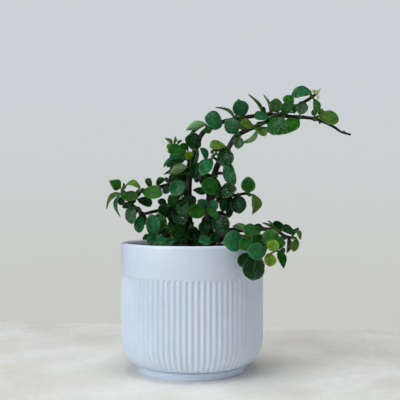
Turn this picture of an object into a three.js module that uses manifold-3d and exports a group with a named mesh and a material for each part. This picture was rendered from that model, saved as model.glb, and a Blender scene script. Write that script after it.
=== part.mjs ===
// A jade bonsai in a ribbed white ceramic pot, in millimetres.
// +Z is up, +X is to the right as seen from the front and +Y goes away from the front.
// The origin is the centre of the pot's underside.
import * as THREE from 'three';
import { mergeVertices } from 'three/addons/utils/BufferGeometryUtils.js';
import Module from 'manifold-3d';

const wasm = await Module();
wasm.setup();

// Pot
const POT_RADIUS = 60;
const POT_HEIGHT = 107.5;
const WALL = 4.5;
const RIBS = 80;
const RIB_DEPTH = 1.1;
const RIB_TOP = 80.6;
const FOOT_RADIUS = 45.4;
const FOOT_HEIGHT = 5.8;
const GROOVE_RADIUS = 43.6;
const BOWL_START = 6.8;
const BOWL_HEIGHT = 23;
const FLOOR = 10;
const FLOOR_ROUND = 18;
const RIM_ROUND = 1.4;
const RIB_END = 0.7;
const HOLLOW_RADIUS = POT_RADIUS - WALL;
const HOLLOW_SIDES = 40;

// Soil
const SOIL_TOP = 102.5;
const GAP = 0.3;

// Where the plant is looked at from: straight in front, this far from the pot's axis and this high
const EYE_X = 6.8;
const EYE_DISTANCE = 632;
const EYE_HEIGHT = 146.3;

// Leaf blade: places along its rib and the half width there, as shares of the length and the half width.
// It is plump along the rib and thin at the edge. A small leaf, or one behind the others, keeps two places.
const STATIONS = [0, 0.24, 0.56, 0.86, 1];
const OUTLINE = [0.13, 0.74, 1, 0.74, 0];
const FEW_STATIONS = [0.35, 0.78];
const SMALL = 10.5;
const THICKNESS = 2;
const FOLD = THREE.MathUtils.degToRad(14);
const ARCH = 0.05;

// Leaf stalk, and the ring at its foot that a pair of leaves grows from
const STALK_RADIUS = 0.7;
const SHORT_STALK = 4.5;
const COLLAR_WALL = 1.6;
const COLLAR_HOLD = 1;
const COLLAR_HEIGHT = 2.2;
const COLLAR_GAP = 0.35;
const COLLAR_SIDES = 5;

// How far one ring stays from another on its limb, more where the limb bends, and from other limbs and leaves
const COLLAR_SPACING = 3.3;
const BENT_SPACING = 10;
const SIDE_SPACING = 4.5;
const COLLAR_REACH = 3.2;
const COLLAR_BEND = 1.3;

// Wood: the sides of thick and thin limbs, and the steps in which their lines are followed
const TRUNK_RADIUS = 4;
const TRUNK_SIDES = 6;
const TWIG_SIDES = 5;
const WOOD_STEP = 2;

// How far a face of the plant may move, to clear away needle-thin triangles where pieces are joined
const TRIM = 0.03;

// How far a leaf stays from the pot and soil, the wood, and another leaf across and out of its blade
const POT_CLEAR = 1.3;
const BASE_CLEAR = 0.7;
const BLADE_CLEAR = 1.2;
const STALK_CLEAR = 0.9;
const FOOT_CLEAR = 1.7;
const EDGE_CLEAR = 0.8;
const FACE_CLEAR = 1.9;
// Shares of the rib: where leaves of one shoot may start to part, and where others must be clear from and to
const OWN_FROM = 0.14;
const OTHER_FROM = -0.06;
const CLEAR_TO = 1.06;
const TIP_FROM = 0.94;

// Steps in depth that a leaf seen from the front may take
const DEEPER = [0, -1.5, 1.5, -3, 3, -4.5, 4.5, -6, 6, -8, 8, -10, 10, -12, 12];

// A larger leaf has a second one behind it, out of sight from the front: its least length, the depth of limb
// past which there is none, its share of the length with a random part, its lean, and the turns it may take
const BEHIND_LENGTH = 13.4;
const BEHIND_DEPTH = 9;
const BEHIND_SHARE = 0.82;
const BEHIND_DRAW = 0.2;
const BEHIND_STEP = 1.5;
const BEHIND_LEAN = 0.45;
const BEHIND_FACE = 0.1;
const BEHIND_TURN = 0.6;
const TURNS = [0, 0.4, -0.4, 0.8, -0.8, 1.2, -1.2, 1.6, -1.6, 2, -2, 2.5, -2.5, 3];
const COVER_MARGIN = 2.2;
const SEED = 7;

// Each limb is a list of points: where it is seen from the front (x, z), its depth y and its radius.
// A limb starts inside the one that it grows from.
const LIMBS = {
  leader: [
    [6, 89, 0, 8.6], [6, 98, 0, 9.2], [4, 105, 0, 8], [0, 112, 0, 6.2], [-3, 119, 0, 5], [-4, 128, 1, 4.4],
    [-3.6, 140, 1, 3.7], [-3.4, 151, 1, 3.2], [-2.6, 160, 2, 2.7], [-1.7, 174, 2, 2.4], [3.4, 187, 3, 2.2],
    [8.5, 199, 4, 2.1], [17, 205.6, 5, 2], [25.5, 209, 5, 1.9], [39, 212, 6, 1.8], [54.3, 214.4, 6, 1.7],
    [66.2, 215.4, 6, 1.6], [79.8, 214, 6, 1.6], [95, 213, 6, 1.5], [106, 211.3, 6, 1.45],
    [113.7, 208.2, 5, 1.3],
    [120.5, 204.8, 5, 1.15], [126.4, 200.8, 4, 1], [134.5, 198.4, 4, 0.95],
  ],
  right: [
    [7, 98, -1, 5], [12, 107, -2, 4.9], [14, 116, -3, 4.4], [14.3, 127, -4, 3.8], [15, 142.9, -5, 3.2],
    [17.8, 160, -6, 2.7], [22.3, 173.5, -7, 2.4], [31.4, 188, -8, 2.1], [37, 197, -9, 2],
    [42.8, 200.2, -10, 1.9],
    [54.8, 205.6, -10, 1.7], [64.5, 210.2, -10, 1.6], [78.9, 218.2, -10, 1.5], [94.2, 225.6, -9, 1.4],
    [103.3, 231.4, -8, 1.3], [108, 236.4, -8, 0.8],
  ],
  left: [
    [-3.4, 147, 1, 2.8], [-10, 152, -4, 2.3], [-20, 155.2, -9, 1.9], [-32, 152.3, -13, 1.6],
    [-43, 150.2, -15, 1.3],
    [-46, 146.4, -15, 1.2], [-53, 148.2, -14, 1.1], [-60.5, 151, -13, 0.9],
  ],
  left_stub: [[-17, 154.7, -8, 1.9], [-19.5, 158, -7, 1.8], [-22.8, 161.4, -6, 1.7]],
  left_low: [
    [-4, 130, 1, 2.6], [-13, 135.6, -4, 2], [-25, 134.4, -9, 1.6], [-34, 132.8, -12, 1.4],
    [-41, 131.4, -13, 1.2],
    [-46, 134.6, -13, 1.1],
  ],
  left_rim: [[1, 107, -4, 3.4], [-8, 111.5, -16, 2.3], [-20, 112.5, -27, 1.8], [-30, 111.4, -35, 1.3]],
  crown_left: [[-1.4, 175, 2, 2.1], [-6, 182.5, 0, 1.4], [-11, 187, -1, 1.2], [-14.5, 190, -2, 1]],
  centre_twig: [
    [15.2, 146, -5, 2.4], [25.5, 147.4, -8, 1.5], [37.3, 146.8, -10, 1.3], [45, 148.4, -11, 1.2],
    [50.4, 147, -11, 1],
  ],
  upper_twig: [[23.8, 176, -7, 2], [20.6, 177.4, -9, 1.2], [16.4, 180.4, -10, 1]],
  over_rim: [
    [12, 104, -3, 4.6], [20, 110, -14, 3.2], [27, 112.8, -30, 2.4], [35, 113.2, -45, 2],
    [44, 111.2, -54, 1.8],
    [53, 108.6, -56, 1.6], [61, 105.6, -54, 1.4], [67, 102.6, -51, 1.2], [73.5, 99.4, -49, 0.9],
  ],
  over_rim_low: [[59, 106.4, -55, 1.4], [58.6, 100.5, -56, 1.2], [54.6, 96, -56, 1]],
  far_right: [
    [13.5, 110, -1, 4], [28, 116, -6, 2.7], [42, 117.6, -12, 2.2], [59.4, 118.4, -16, 1.8],
    [72, 116.4, -18, 1.5],
    [79.6, 112, -18, 1.3], [89, 110.4, -18, 0.9],
  ],
  back_high: [[-3, 157, 2, 2.4], [-1, 162, 11, 1.7], [1, 166, 20, 1.4], [2, 170, 28, 1.1]],
  back_low: [[-3, 131, 1, 3], [-7, 136, 11, 2], [-9, 140, 21, 1.6], [-8, 145, 31, 1.2]],
  back_right: [[15.4, 149, -5, 2.3], [19, 153, 5, 1.8], [23, 153.6, 15, 1.4], [26, 151.6, 24, 1.1]],
  back_rim: [[2, 106, 4, 3.6], [-9, 111, 18, 2.3], [-19, 112.6, 30, 1.7], [-27, 112, 38, 1.2]],
};

// Each shoot is a list of leaves: where its foot and tip are seen from the front (x, z, x, z), the foot's
// depth, the length, with a minus where the tip points to the front, the turn about its own rib in degrees
// (0 faces the front, 180 shows the underside) and its width over its length. The arch follows where it
// differs from the usual one.
const SHOOTS = {
  left_tip: [
    [-60.8, 153, -69.6, 158.8, -14, -12.4, 10, 0.86],
    [-59.6, 151.4, -57.8, 157, -12, 8, 60, 0.55],
    [-61, 149.5, -72.8, 135, -14, 18.8, 68, 0.66, 0.14],
    [-61.4, 147.4, -60.8, 128.5, -16, 19, 70, 0.55, 0.16],
    [-60.5, 145.6, -45.6, 144.2, -17, -15.8, -40, 0.68],
    [-60.2, 146, -59.6, 138.6, -12, 8, 0, 0.78],
  ],
  left_bend: [
    [-43.6, 153, -58.4, 153, -12, 15.5, 62, 0.68, 0.28],
    [-42, 150, -25, 147.4, -19, -18, -20, 0.7],
    [-46, 144.4, -34.8, 137.4, -15, -13.5, -40, 0.7],
    [-47.6, 142.4, -54.6, 139.6, -12, 8, 20, 0.75],
  ],
  left_pair: [
    [-35.6, 153.6, -35.2, 161, -11, -12, -36, 0.72],
    [-27, 155, -28.2, 162, -8.4, -11, 25, 0.8],
    [-24.6, 153.6, -19, 149.6, -13, -8.6, 10, 0.8],
  ],
  left_hanging: [
    [-51.6, 139.6, -50.6, 123, -17, -16.7, 15, 0.62],
    [-44, 130, -44.8, 115.4, -14, -14.6, 0, 0.62],
    [-42, 133, -39.4, 122, -10, 12.5, 25, 0.72],
    [-49, 139, -58.6, 136.6, -14, -10, 30, 0.62],
    [-44.6, 137, -50.6, 131.6, -10, 9, 20, 0.8],
  ],
  left_inner: [
    [-22.5, 130, -26.6, 138.8, -14, -11, 0, 0.85],
    [-19, 134, -22.6, 128, -3, -8.6, 20, 0.85],
    [-21.6, 137, -28.4, 143, -10, 9.6, 20, 0.7],
  ],
  left_root: [
    [-15, 137, -19, 147, -9, -13, 20, 0.75],
    [-12.5, 136, -7, 122.5, -8, -17, 0, 0.8],
  ],
  rim_left: [
    [-32, 110.4, -34.6, 130.8, -33, -20.4, 8, 0.6],
    [-28, 113, -28.6, 131.4, -27, 17, 25, 0.68],
    [-34, 111, -42, 110.4, -34, 9, 40, 0.7],
    [-30, 110.4, -38, 107.4, -30, -8.8, 10, 0.8],
  ],
  rim_middle: [
    [-14, 116.4, -21.4, 119, -18, -8.4, 30, 0.75],
    [-18, 108.4, -26, 109.6, -26, -9, 20, 0.75],
    [-11, 109, -18, 107.6, -20, -8, 30, 0.75],
    [-17, 114, -27, 118.6, -20, 12, 20, 0.8],
    [-22.4, 110.4, -30.4, 106.9, -31, -9.5, 12, 0.84],
    [-24.2, 113.9, -20.6, 120.4, -30, -8.4, 24, 0.78],
    [-15.6, 109.4, -22.6, 105.4, -36, -8.4, 0, 0.85],
  ],
  rim_root: [
    [-5, 114, -14, 108.6, -15, -11.5, 35, 0.8],
    [-3, 109.6, -9.6, 106, -14, -8.6, 10, 0.84],
    [0, 109.8, 5, 105, -20, -7.8, 0, 0.85],
  ],
  rim_right: [
    [17, 108.6, 6, 107.6, -16, -12, 35, 0.85],
    [24, 113, 17, 107, -24, -10, 10, 0.85],
  ],
  crown_left_top: [
    [-16.8, 190.8, -23, 195.4, -4, 8.4, 50, 0.66],
    [-13.4, 190.4, -8.6, 193.4, -2, 7, -50, 0.66],
    [-15, 189.2, -21.6, 187, -4, -8.5, 45, 0.75],
    [-15.2, 190.6, -14.2, 196.8, -4, -7, 55, 0.55],
  ],
  crown_left_side: [
    [-5, 184.5, -20.2, 183.6, -4, -16, 42, 0.86],
    [-4.6, 178.4, -24, 170.6, -5, 20, 76, 0.7, 0.12],
    [-7, 175.6, -21, 170.8, -8, -15, 60, 0.75],
    [-3, 185.6, -10.6, 189.6, 2, 9.4, 30, 0.8],
    [-5.9, 181, -19, 177.4, 0.4, 13.8, 28, 0.7],
  ],
  crown_left_low: [
    [-4, 171.4, -19.6, 165.2, -5, -17.2, 150, 0.62],
    [-9, 168.8, -24, 164.4, 0.6, 16, 68, 0.6],
    [-0.6, 178, -4.6, 183.4, -6, -9, 0, 0.92],
    [-5, 169, -15, 164, 4, 11.5, 10, 0.8],
  ],
  inner_high: [
    [-5.4, 165.4, -13.5, 159, 0.6, 12.6, 30, 0.85],
    [0.4, 166.4, 6, 159, 3, 11, -10, 0.8],
    [-3.6, 163.4, -8.6, 157, 8, 8.6, -10, 0.8],
    [-12, 164, -19, 159, 1, 9.4, 20, 0.8],
  ],
  inner_left: [
    [-6.6, 158.4, -17, 147.8, -6, -16, 10, 0.86],
    [-7, 152, -15, 143.4, -1, 13, 30, 0.85],
  ],
  inner_low: [
    [-6, 147.2, -1.2, 134.4, -5, -14, 0, 0.8],
    [-7, 143, -13.6, 136.6, 1, 12, 20, 0.85],
    [-2.7, 140.2, -12, 132.4, -14.6, -13, 12, 0.82],
  ],
  inner_middle: [
    [4, 174.6, 2.8, 160.2, -3, -16, 4, 0.72],
    [4.4, 177.8, 3.6, 184.6, 0.4, 7.6, 70, 0.54],
  ],
  upper_left: [
    [7.4, 189.4, -5.4, 195, -3, -15.6, 5, 0.9],
  ],
  upper_pale: [
    [11.4, 208, -5, 202.2, -1, -17.6, 150, 0.54],
    [13, 205, 14.4, 199, -2, -9, 0, 0.85],
  ],
  upper_fan: [
    [25.6, 207, 11.2, 212.6, -2, -16.6, 15, 0.96],
  ],
  fork_low: [
    [16.8, 177.6, 8, 164, -11, -18.5, 18, 0.64],
    [12, 176.8, 8.2, 187.4, -9, 12, 40, 0.7],
    [17, 182, 16.4, 185, -10, -5, 0, 0.7],
    [19, 181, 21.4, 183, -9, 5, 0, 0.7],
  ],
  fork_side: [
    [20.6, 166, 28.6, 164.4, -8, 9.5, -75, 0.75],
    [18, 163, 11, 162.2, -9, -10, 58, 0.8],
    [19, 161.8, 6.6, 157.4, -4, 13, 20, 0.68],
  ],
  fork_top: [
    [28.6, 188.8, 15.4, 187.2, -9, -14, 42, 0.86],
    [29.6, 187, 27, 171, -12, -17, 5, 0.84],
  ],
  fork_under: [
    [30, 177, 36.4, 156.4, -7, -22, 36, 0.6],
  ],
  arch_left: [
    [36, 212.8, 19.6, 221.4, 3, 19, 80, 0.62, 0.12],
    [44.8, 215, 37.4, 226, 1, -15.6, -8, 0.94],
  ],
  arch_under: [
    [39, 200.4, 29, 210.6, -12, -16, 0, 0.86],
    [39.6, 196.8, 38.6, 186.2, -11, -12.5, 0, 0.8],
  ],
  arch_fork: [
    [52, 204.6, 41, 208.4, -13, -12.8, 38, 0.86],
    [54.6, 203.4, 44.4, 191.4, -10, 16.5, 112, 0.7, -0.26],
    [57.2, 204.4, 62.2, 197.2, -13, -11, -8, 0.86],
  ],
  arch_spears: [
    [59.8, 217.4, 47.6, 232.8, 4, 20, 78, 0.6],
    [66.6, 217, 60.6, 232.4, 3, 17, 74, 0.62, 0.07],
    [62, 217, 58, 221, 5, -8, 20, 0.7],
  ],
  arch_middle: [
    [64.5, 213.6, 53, 212.1, -12.6, -13, 38, 0.9],
    [63.4, 208.7, 55, 206.2, -13, -12, 70, 0.7],
    [65.5, 210.8, 77, 199.2, -15, -17.4, -5, 0.98],
    [66.9, 213.7, 72.8, 211.6, -12, 8, -55, 0.85],
  ],
  arch_green: [
    [71.4, 217, 71.6, 228.4, -1, -13, -14, 0.88],
    [78.8, 216.2, 80.4, 226, -3, -12.5, 8, 0.88],
    [86.4, 215.4, 84.6, 224.4, 5, 10, 20, 0.8],
  ],
  arch_back: [
    [85.4, 222.6, 79, 231.2, -4, 11, 10, 0.88],
  ],
  arch_low: [
    [90.8, 211, 77.6, 198.4, 2, -19, 20, 0.78],
  ],
  end_top: [
    [101.4, 234.2, 85.8, 229.8, -11, -17, 32, 0.64, 0.24],
    [102.8, 229.4, 104.6, 217, -9, 13.4, -40, 0.78],
  ],
  end_inner: [
    [94.7, 226.3, 91.2, 215, -12, -13.1, 2, 0.78],
  ],
  end_low: [
    [102.4, 214.6, 105, 219.6, 1.4, -8, 0, 0.7],
    [107, 214.6, 123.8, 210.2, 8, -17.6, -20, 0.8],
    [109, 213.2, 109.6, 220.4, 4, -7.4, 0, 0.8],
  ],
  centre_big: [
    [23.6, 151, 8, 155.8, -11, -17, 14, 0.86],
    [24, 150.6, 37.4, 151.6, -10, -17, -22, 0.82],
    [25.6, 145, 26.6, 133.2, -10, -11.8, 0, 0.58],
    [29.6, 141, 31.2, 127.8, -6, 13.6, -40, 0.7],
    [27, 147, 33.4, 140.4, -3, 10, 0, 0.84],
  ],
  centre_root: [
    [11.4, 148.6, 0.8, 151.4, -9, -11.2, 30, 0.72],
    [17.6, 143.6, 18.4, 133.4, -9, -11, 0, 0.8],
    [20, 152, 13, 146, -2, 10, 0, 0.84],
  ],
  centre_down: [
    [37.4, 146.6, 40.6, 131.8, -13, -16, 0, 0.88],
  ],
  centre_end: [
    [47, 148.6, 47.4, 162.4, -12, -15, 0, 0.78],
    [50.9, 147.4, 51.2, 131, -12, -16.9, -52, 0.88, 0.16],
  ],
  trunk_front: [
    [12.4, 134.6, -2.4, 131.2, -14, -16, 10, 0.82],
    [12.6, 138, 5, 142.6, -13, -11, -10, 0.8],
    [17, 131, 30, 128.8, -7, 13.6, -66, 0.6],
    [13, 136.6, 21, 127.6, -12.6, -13.4, -30, 0.6],
  ],
  trunk_right: [
    [18.6, 129, 28.6, 115.6, -15, -18, 0, 0.86],
    [11.6, 125.6, 9.6, 114.6, -14, -12, 0, 0.86],
    [16, 119, 14, 108.8, 8, 11, 0, 0.8],
    [17, 130, 9, 123.6, 4, 10.6, 0, 0.8],
  ],
  trunk_low: [
    [9, 118, 4.6, 107.6, -13, -12.4, 0, 0.84],
    [23, 117, 22, 106.6, -9, 11.6, 0, 0.84],
    [20, 123, 30, 112, 3, 14, 20, 0.84],
  ],
  soil_left: [
    [-6, 113, -15, 121, 2, 12.6, 20, 0.84],
    [-9, 109.6, -20, 109.2, -2, -12, 10, 0.8],
    [-8, 121, -19.6, 133, 6, 16.4, 10, 0.8],
    [-14, 113, -23, 120, 10, 13, 20, 0.8],
  ],
  trunk_left: [
    [-6, 120, -16.6, 114.6, -9, -13.5, 40, 0.8],
    [-5, 124, -15, 127.4, 2, 12, 20, 0.8],
    [2, 114, -1.6, 120.6, -12, -11, 0, 0.85],
    [-1, 121.6, -9, 130.6, -12, -12.6, 10, 0.84],
  ],
  over_rim_first: [
    [43, 108.6, 26.6, 107.6, -60, -17.4, 4, 0.98],
    [49.6, 108.6, 40.6, 101.6, -62, -13, 10, 0.86],
  ],
  over_rim_top: [
    [48.6, 116.3, 35.2, 120.6, -52, 14.2, 58, 0.7],
    [58, 113.2, 42.6, 117.4, -55, -15.6, 34, 0.8],
    [61, 117.8, 50, 119, -48, 12, 74, 0.7, 0.16],
  ],
  over_rim_middle: [
    [62.6, 98.4, 46.4, 100.6, -62, -16.6, 4, 0.82],
    [62, 108, 49.6, 109.6, -57, -13, 10, 0.8],
  ],
  over_rim_leaf: [
    [65, 102, 70.6, 117.4, -50, -18, -22, 0.86],
  ],
  over_rim_tip: [
    [66.6, 100, 70.8, 109.2, -58, -11, 0, 0.92],
    [66, 98, 66, 87, -56, -11, 0, 0.92],
    [73.6, 99.6, 77.6, 85.6, -50, -14.8, -30, 0.66],
    [73.4, 101, 76.6, 109, -46, 9.6, -10, 0.8],
    [73, 98.4, 79, 101.4, -46, 7.4, 20, 0.7],
  ],
  over_rim_hanging: [
    [54, 94.6, 51, 75.6, -58, -18.4, 0, 0.98],
    [50, 97, 40.4, 87, -55, -13, 10, 0.84],
  ],
  far_right_spears: [
    [69.2, 118, 60, 123.4, -18, 11.4, 78, 0.6],
    [70.2, 118.8, 64.6, 125.2, -16, 9.4, 78, 0.6],
    [80.6, 115.8, 67.6, 121.2, -20, -15.8, 58, 0.8],
  ],
  back_high: [
    [3, 172, -3, 180, 29, 13, 20, 0.85],
    [4, 169, 8, 160, 28, 12, -20, 0.85],
    [-1, 168, -11, 163, 25, -12, 30, 0.85],
  ],
  back_low: [
    [-8, 147, -12, 158, 32, 13, 0, 0.85],
    [-10, 142, -17, 135, 29, 12, 20, 0.85],
    [-6, 144, 3, 140, 28, 12, -20, 0.85],
    [-10, 137, -6, 126, 22, 12, 10, 0.85],
  ],
  back_right: [
    [27, 152, 34, 150, 25, 12, 0, 0.85],
    [25, 153.6, 17, 157, 24, 12, 0, 0.85],
    [25, 149, 24, 140, 22, 11, 0, 0.85],
  ],
  back_rim: [
    [-27, 113, -36, 118, 38, 13, 20, 0.85],
    [-20, 115, -15, 123, 31, 13, 0, 0.85],
    [-20, 113, -12, 110.5, 31, -11, 0, 0.8],
    [-10, 114, -4, 121, 19, 12, 0, 0.85],
  ],
  far_right_end: [
    [87, 114.4, 75.6, 118, -19, -14, 50, 0.8],
    [88.8, 117.4, 92, 108.8, -17, 10, -48, 0.7],
    [81.6, 112, 80.6, 98, -18, 14.2, -55, 0.6],
    [89, 110, 86.6, 99.4, -20, -10.9, 38, 0.82],
    [84, 116.4, 90.8, 118.6, -15, 8, 40, 0.7],
  ],
};

const vector = (x, y, z) => new THREE.Vector3(x, y, z);

// A place given as it is seen from the front lies on the line of sight, at its depth
function seen(x, z, y) {
  const reach = (EYE_DISTANCE + y) / EYE_DISTANCE;
  return vector(EYE_X + (x - EYE_X) * reach, y, EYE_HEIGHT + (z - EYE_HEIGHT) * reach);
}

// The same repeatable draw from 0 to 1 each run
let drawn = SEED;
function draw() {
  drawn = (Math.imul(drawn, 1103515245) + 12345) & 0x7fffffff;
  return drawn / 0x7fffffff;
}

// A closed mesh with shared corners and no empty triangles, as a solid
function solid(geometry) {
  geometry.deleteAttribute('normal');
  geometry.deleteAttribute('uv');
  const merged = mergeVertices(geometry, 1e-4);
  const index = merged.index.array;
  const kept = [];
  for (let i = 0; i < index.length; i += 3) {
    const [a, b, c] = index.slice(i, i + 3);
    if (a !== b && b !== c && c !== a) kept.push(a, b, c);
  }
  const vertProperties = Float32Array.from(merged.attributes.position.array);
  const triVerts = Uint32Array.from(kept);
  return new wasm.Manifold(new wasm.Mesh({ numProp: 3, vertProperties, triVerts }));
}

// The largest body of a solid, so that a scrap cut loose is dropped
function largest(body) {
  const parts = body.decompose();
  return parts.reduce((best, part) => (part.volume() > best.volume() ? part : best));
}

// A body with its needle-thin triangles cleared away
function trimmed(body) {
  return body.asOriginal().simplify(TRIM);
}

const group = new THREE.Group();

function addMesh(name, body, material) {
  const { vertProperties, triVerts } = body.getMesh();
  const geometry = new THREE.BufferGeometry();
  geometry.setAttribute('position', new THREE.BufferAttribute(vertProperties, 3));
  geometry.setIndex(new THREE.BufferAttribute(triVerts, 1));
  geometry.computeVertexNormals();
  const mesh = new THREE.Mesh(geometry, material);
  mesh.name = name;
  group.add(mesh);
}

// A turned shape about +Z from points of radius and height
function turned(profile, sides) {
  const points = profile.map(([r, z]) => new THREE.Vector2(r, z));
  return new THREE.LatheGeometry(points, sides).rotateX(Math.PI / 2);
}

// Pot: a turned body with every second line of corners pressed in between the ribs, and a turned hollow
function potSolid() {
  const bowl = [30, 60, 90].map((degrees) => {
    const angle = THREE.MathUtils.degToRad(degrees);
    return [
      FOOT_RADIUS + (POT_RADIUS - FOOT_RADIUS) * Math.sin(angle),
      BOWL_START + BOWL_HEIGHT * (1 - Math.cos(angle)),
    ];
  });
  const ribbed = [...bowl, [POT_RADIUS, RIB_TOP]];
  const plain = [[0, 0], [FOOT_RADIUS, 0], [FOOT_RADIUS, FOOT_HEIGHT], [GROOVE_RADIUS, BOWL_START]];
  const profile = [
    ...plain, ...ribbed, [POT_RADIUS, RIB_TOP + RIB_END], [POT_RADIUS, POT_HEIGHT - RIM_ROUND],
    [POT_RADIUS - RIM_ROUND, POT_HEIGHT], [0, POT_HEIGHT],
  ];
  const geometry = turned(profile, 2 * RIBS);
  const position = geometry.attributes.position;
  for (let i = 0; i < position.count; i += 1) {
    const ring = i % profile.length;
    const valley = Math.floor(i / profile.length) % 2 === 1;
    if (!valley || ring < plain.length || ring >= plain.length + ribbed.length) continue;
    const share = 1 - RIB_DEPTH / profile[ring][0];
    position.setXY(i, position.getX(i) * share, position.getY(i) * share);
  }
  const hollow = turned([
    [0, FLOOR], [HOLLOW_RADIUS - FLOOR_ROUND, FLOOR], [HOLLOW_RADIUS, FLOOR + FLOOR_ROUND],
    [HOLLOW_RADIUS, POT_HEIGHT - RIM_ROUND], [HOLLOW_RADIUS + RIM_ROUND, POT_HEIGHT + RIM_ROUND],
    [0, POT_HEIGHT + RIM_ROUND],
  ], HOLLOW_SIDES);
  return solid(geometry).subtract(solid(hollow));
}

const limbs = Object.entries(LIMBS).map(([name, rows]) => ({
  name,
  points: rows.map(([x, z, y, radius]) => ({ at: seen(x, z, y), radius })),
}));

// A limb or a twig: a ring of corners round each of its points, wider and longer by extra
function limbSolid({ points }, extra) {
  const last = points.length - 1;
  const sides = points[0].radius > TRUNK_RADIUS ? TRUNK_SIDES : TWIG_SIDES;
  const corners = [];
  const faces = [];
  let across = vector(0, 0, 0);
  points.forEach(({ at, radius }, i) => {
    const along = points[Math.min(i + 1, last)].at.clone().sub(points[Math.max(i - 1, 0)].at).normalize();
    if (i === 0) across.crossVectors(along, vector(0, 1, 0));
    across = across.addScaledVector(along, -across.dot(along)).normalize();
    const other = along.clone().cross(across);
    const centre = at.clone();
    if (i === 0) centre.addScaledVector(along, -extra);
    if (i === last) centre.addScaledVector(along, extra);
    for (let j = 0; j < sides; j += 1) {
      const angle = 2 * Math.PI * j / sides;
      const corner = centre.clone()
        .addScaledVector(across, (radius + extra) * Math.cos(angle))
        .addScaledVector(other, (radius + extra) * Math.sin(angle));
      corners.push(corner);
      if (i === last) continue;
      const a = i * sides + j;
      const b = i * sides + (j + 1) % sides;
      faces.push([a, b, b + sides], [a, b + sides, a + sides]);
    }
  });
  const end = last * sides;
  for (let j = 1; j < sides - 1; j += 1) faces.push([0, j + 1, j], [end, end + j, end + j + 1]);
  return facesSolid(corners, faces);
}

function facesSolid(corners, faces) {
  const geometry = new THREE.BufferGeometry().setFromPoints(corners);
  geometry.setIndex(faces.flat());
  return solid(geometry);
}

// The wood's centre line in short steps, to seat the shoots on and to keep the leaves clear of
const woodLine = [];
for (const { name, points } of limbs) {
  for (let i = 1; i < points.length; i += 1) {
    const from = points[i - 1];
    const to = points[i];
    const length = from.at.distanceTo(to.at);
    const along = to.at.clone().sub(from.at).normalize();
    const steps = Math.ceil(length / WOOD_STEP);
    const lastStep = i === points.length - 1 ? steps : steps - 1;
    for (let j = 0; j <= lastStep; j += 1) {
      const share = j / steps;
      const at = from.at.clone().lerp(to.at, share);
      const radius = THREE.MathUtils.lerp(from.radius, to.radius, share);
      const straight = Math.min(share, 1 - share) * length > COLLAR_BEND;
      woodLine.push({ limb: name, at, along, radius, straight });
    }
  }
}

// A place pushed out of the wood that it lies in or too close to
function outOfWood(place) {
  const away = (step) => step.at.distanceTo(place) - step.radius;
  const nearest = woodLine.reduce((best, step) => (away(step) < away(best) ? step : best));
  const reach = nearest.radius + FOOT_CLEAR;
  const offset = place.clone().sub(nearest.at);
  return offset.length() < reach ? nearest.at.clone().add(offset.setLength(reach)) : place;
}

// A leaf from its foot, the direction of its rib and the way its upper face looks
function makeLeaf(foot, rib, face, length, width, arch) {
  const side = rib.clone().cross(face).normalize();
  return { foot, rib, side, face: side.clone().cross(rib), length, half: length * width / 2, arch };
}

// A leaf from a row of the table, with its foot pushed deeper by a step
function leafFromRow(row, deeper) {
  const [x0, z0, x1, z1, depth, reach, turn, width, arch = ARCH] = row;
  const foot = outOfWood(seen(x0, z0, depth + deeper));
  const level = seen(x1, z1, foot.y);
  const across = level.distanceTo(foot);
  const length = Math.max(Math.abs(reach), across);
  const lean = Math.sign(reach) * Math.sqrt(length * length - across * across);
  const rib = seen(x1, z1, foot.y + lean).sub(foot).normalize();
  const front = vector(0, -1, 0);
  front.addScaledVector(rib, -front.dot(rib)).normalize();
  front.applyAxisAngle(rib, THREE.MathUtils.degToRad(turn));
  return makeLeaf(foot, rib, front, length, width, arch);
}

function halfWidth(leaf, share) {
  let i = 1;
  while (i < STATIONS.length - 1 && share > STATIONS[i]) i += 1;
  const within = (share - STATIONS[i - 1]) / (STATIONS[i] - STATIONS[i - 1]);
  return leaf.half * THREE.MathUtils.lerp(OUTLINE[i - 1], OUTLINE[i], THREE.MathUtils.clamp(within, 0, 1));
}

// A point of the blade's middle layer: share along the rib, and across from -1 to 1
function onLeaf(leaf, share, across, lift = 0) {
  const half = halfWidth(leaf, share);
  const rise = Math.abs(across) * half * Math.sin(FOLD) + leaf.arch * leaf.length * Math.sin(Math.PI * share);
  return leaf.foot.clone()
    .addScaledVector(leaf.rib, leaf.length * share)
    .addScaledVector(leaf.side, half * across * Math.cos(FOLD))
    .addScaledVector(leaf.face, rise + lift);
}

// Whether a place lies in a leaf's blade or too close to it
function inLeaf(leaf, place, fromShare) {
  const offset = place.clone().sub(leaf.foot);
  const share = offset.dot(leaf.rib) / leaf.length;
  if (share < fromShare || share > CLEAR_TO) return false;
  const across = Math.abs(offset.dot(leaf.side));
  if (across > halfWidth(leaf, Math.min(share, TIP_FROM)) + EDGE_CLEAR) return false;
  const rise = across * Math.tan(FOLD) + leaf.arch * leaf.length * Math.sin(Math.PI * share);
  return Math.abs(offset.dot(leaf.face) - rise) < FACE_CLEAR;
}

// The places of a blade and of its stalk that are tested
const FIRST = 0.1;
const SAMPLES = [[1, 0]];
for (const share of [FIRST, 0.25, 0.4, 0.55, 0.7, 0.85]) {
  for (const across of [-1, -0.5, 0, 0.5, 1]) SAMPLES.push([share, across]);
}
const STALK_SAMPLES = [0.3, 0.65, 1];

// A ring goes only where its limb is straight and no other limb is near
for (const step of woodLine) {
  step.alone = step.straight && woodLine.every((other) => {
    const offset = other.at.clone().sub(step.at);
    return other.limb === step.limb
      || Math.abs(offset.dot(step.along)) > other.radius + COLLAR_HEIGHT / 2 + GAP
      || offset.length() > other.radius + step.radius + COLLAR_REACH;
  });
}

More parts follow.
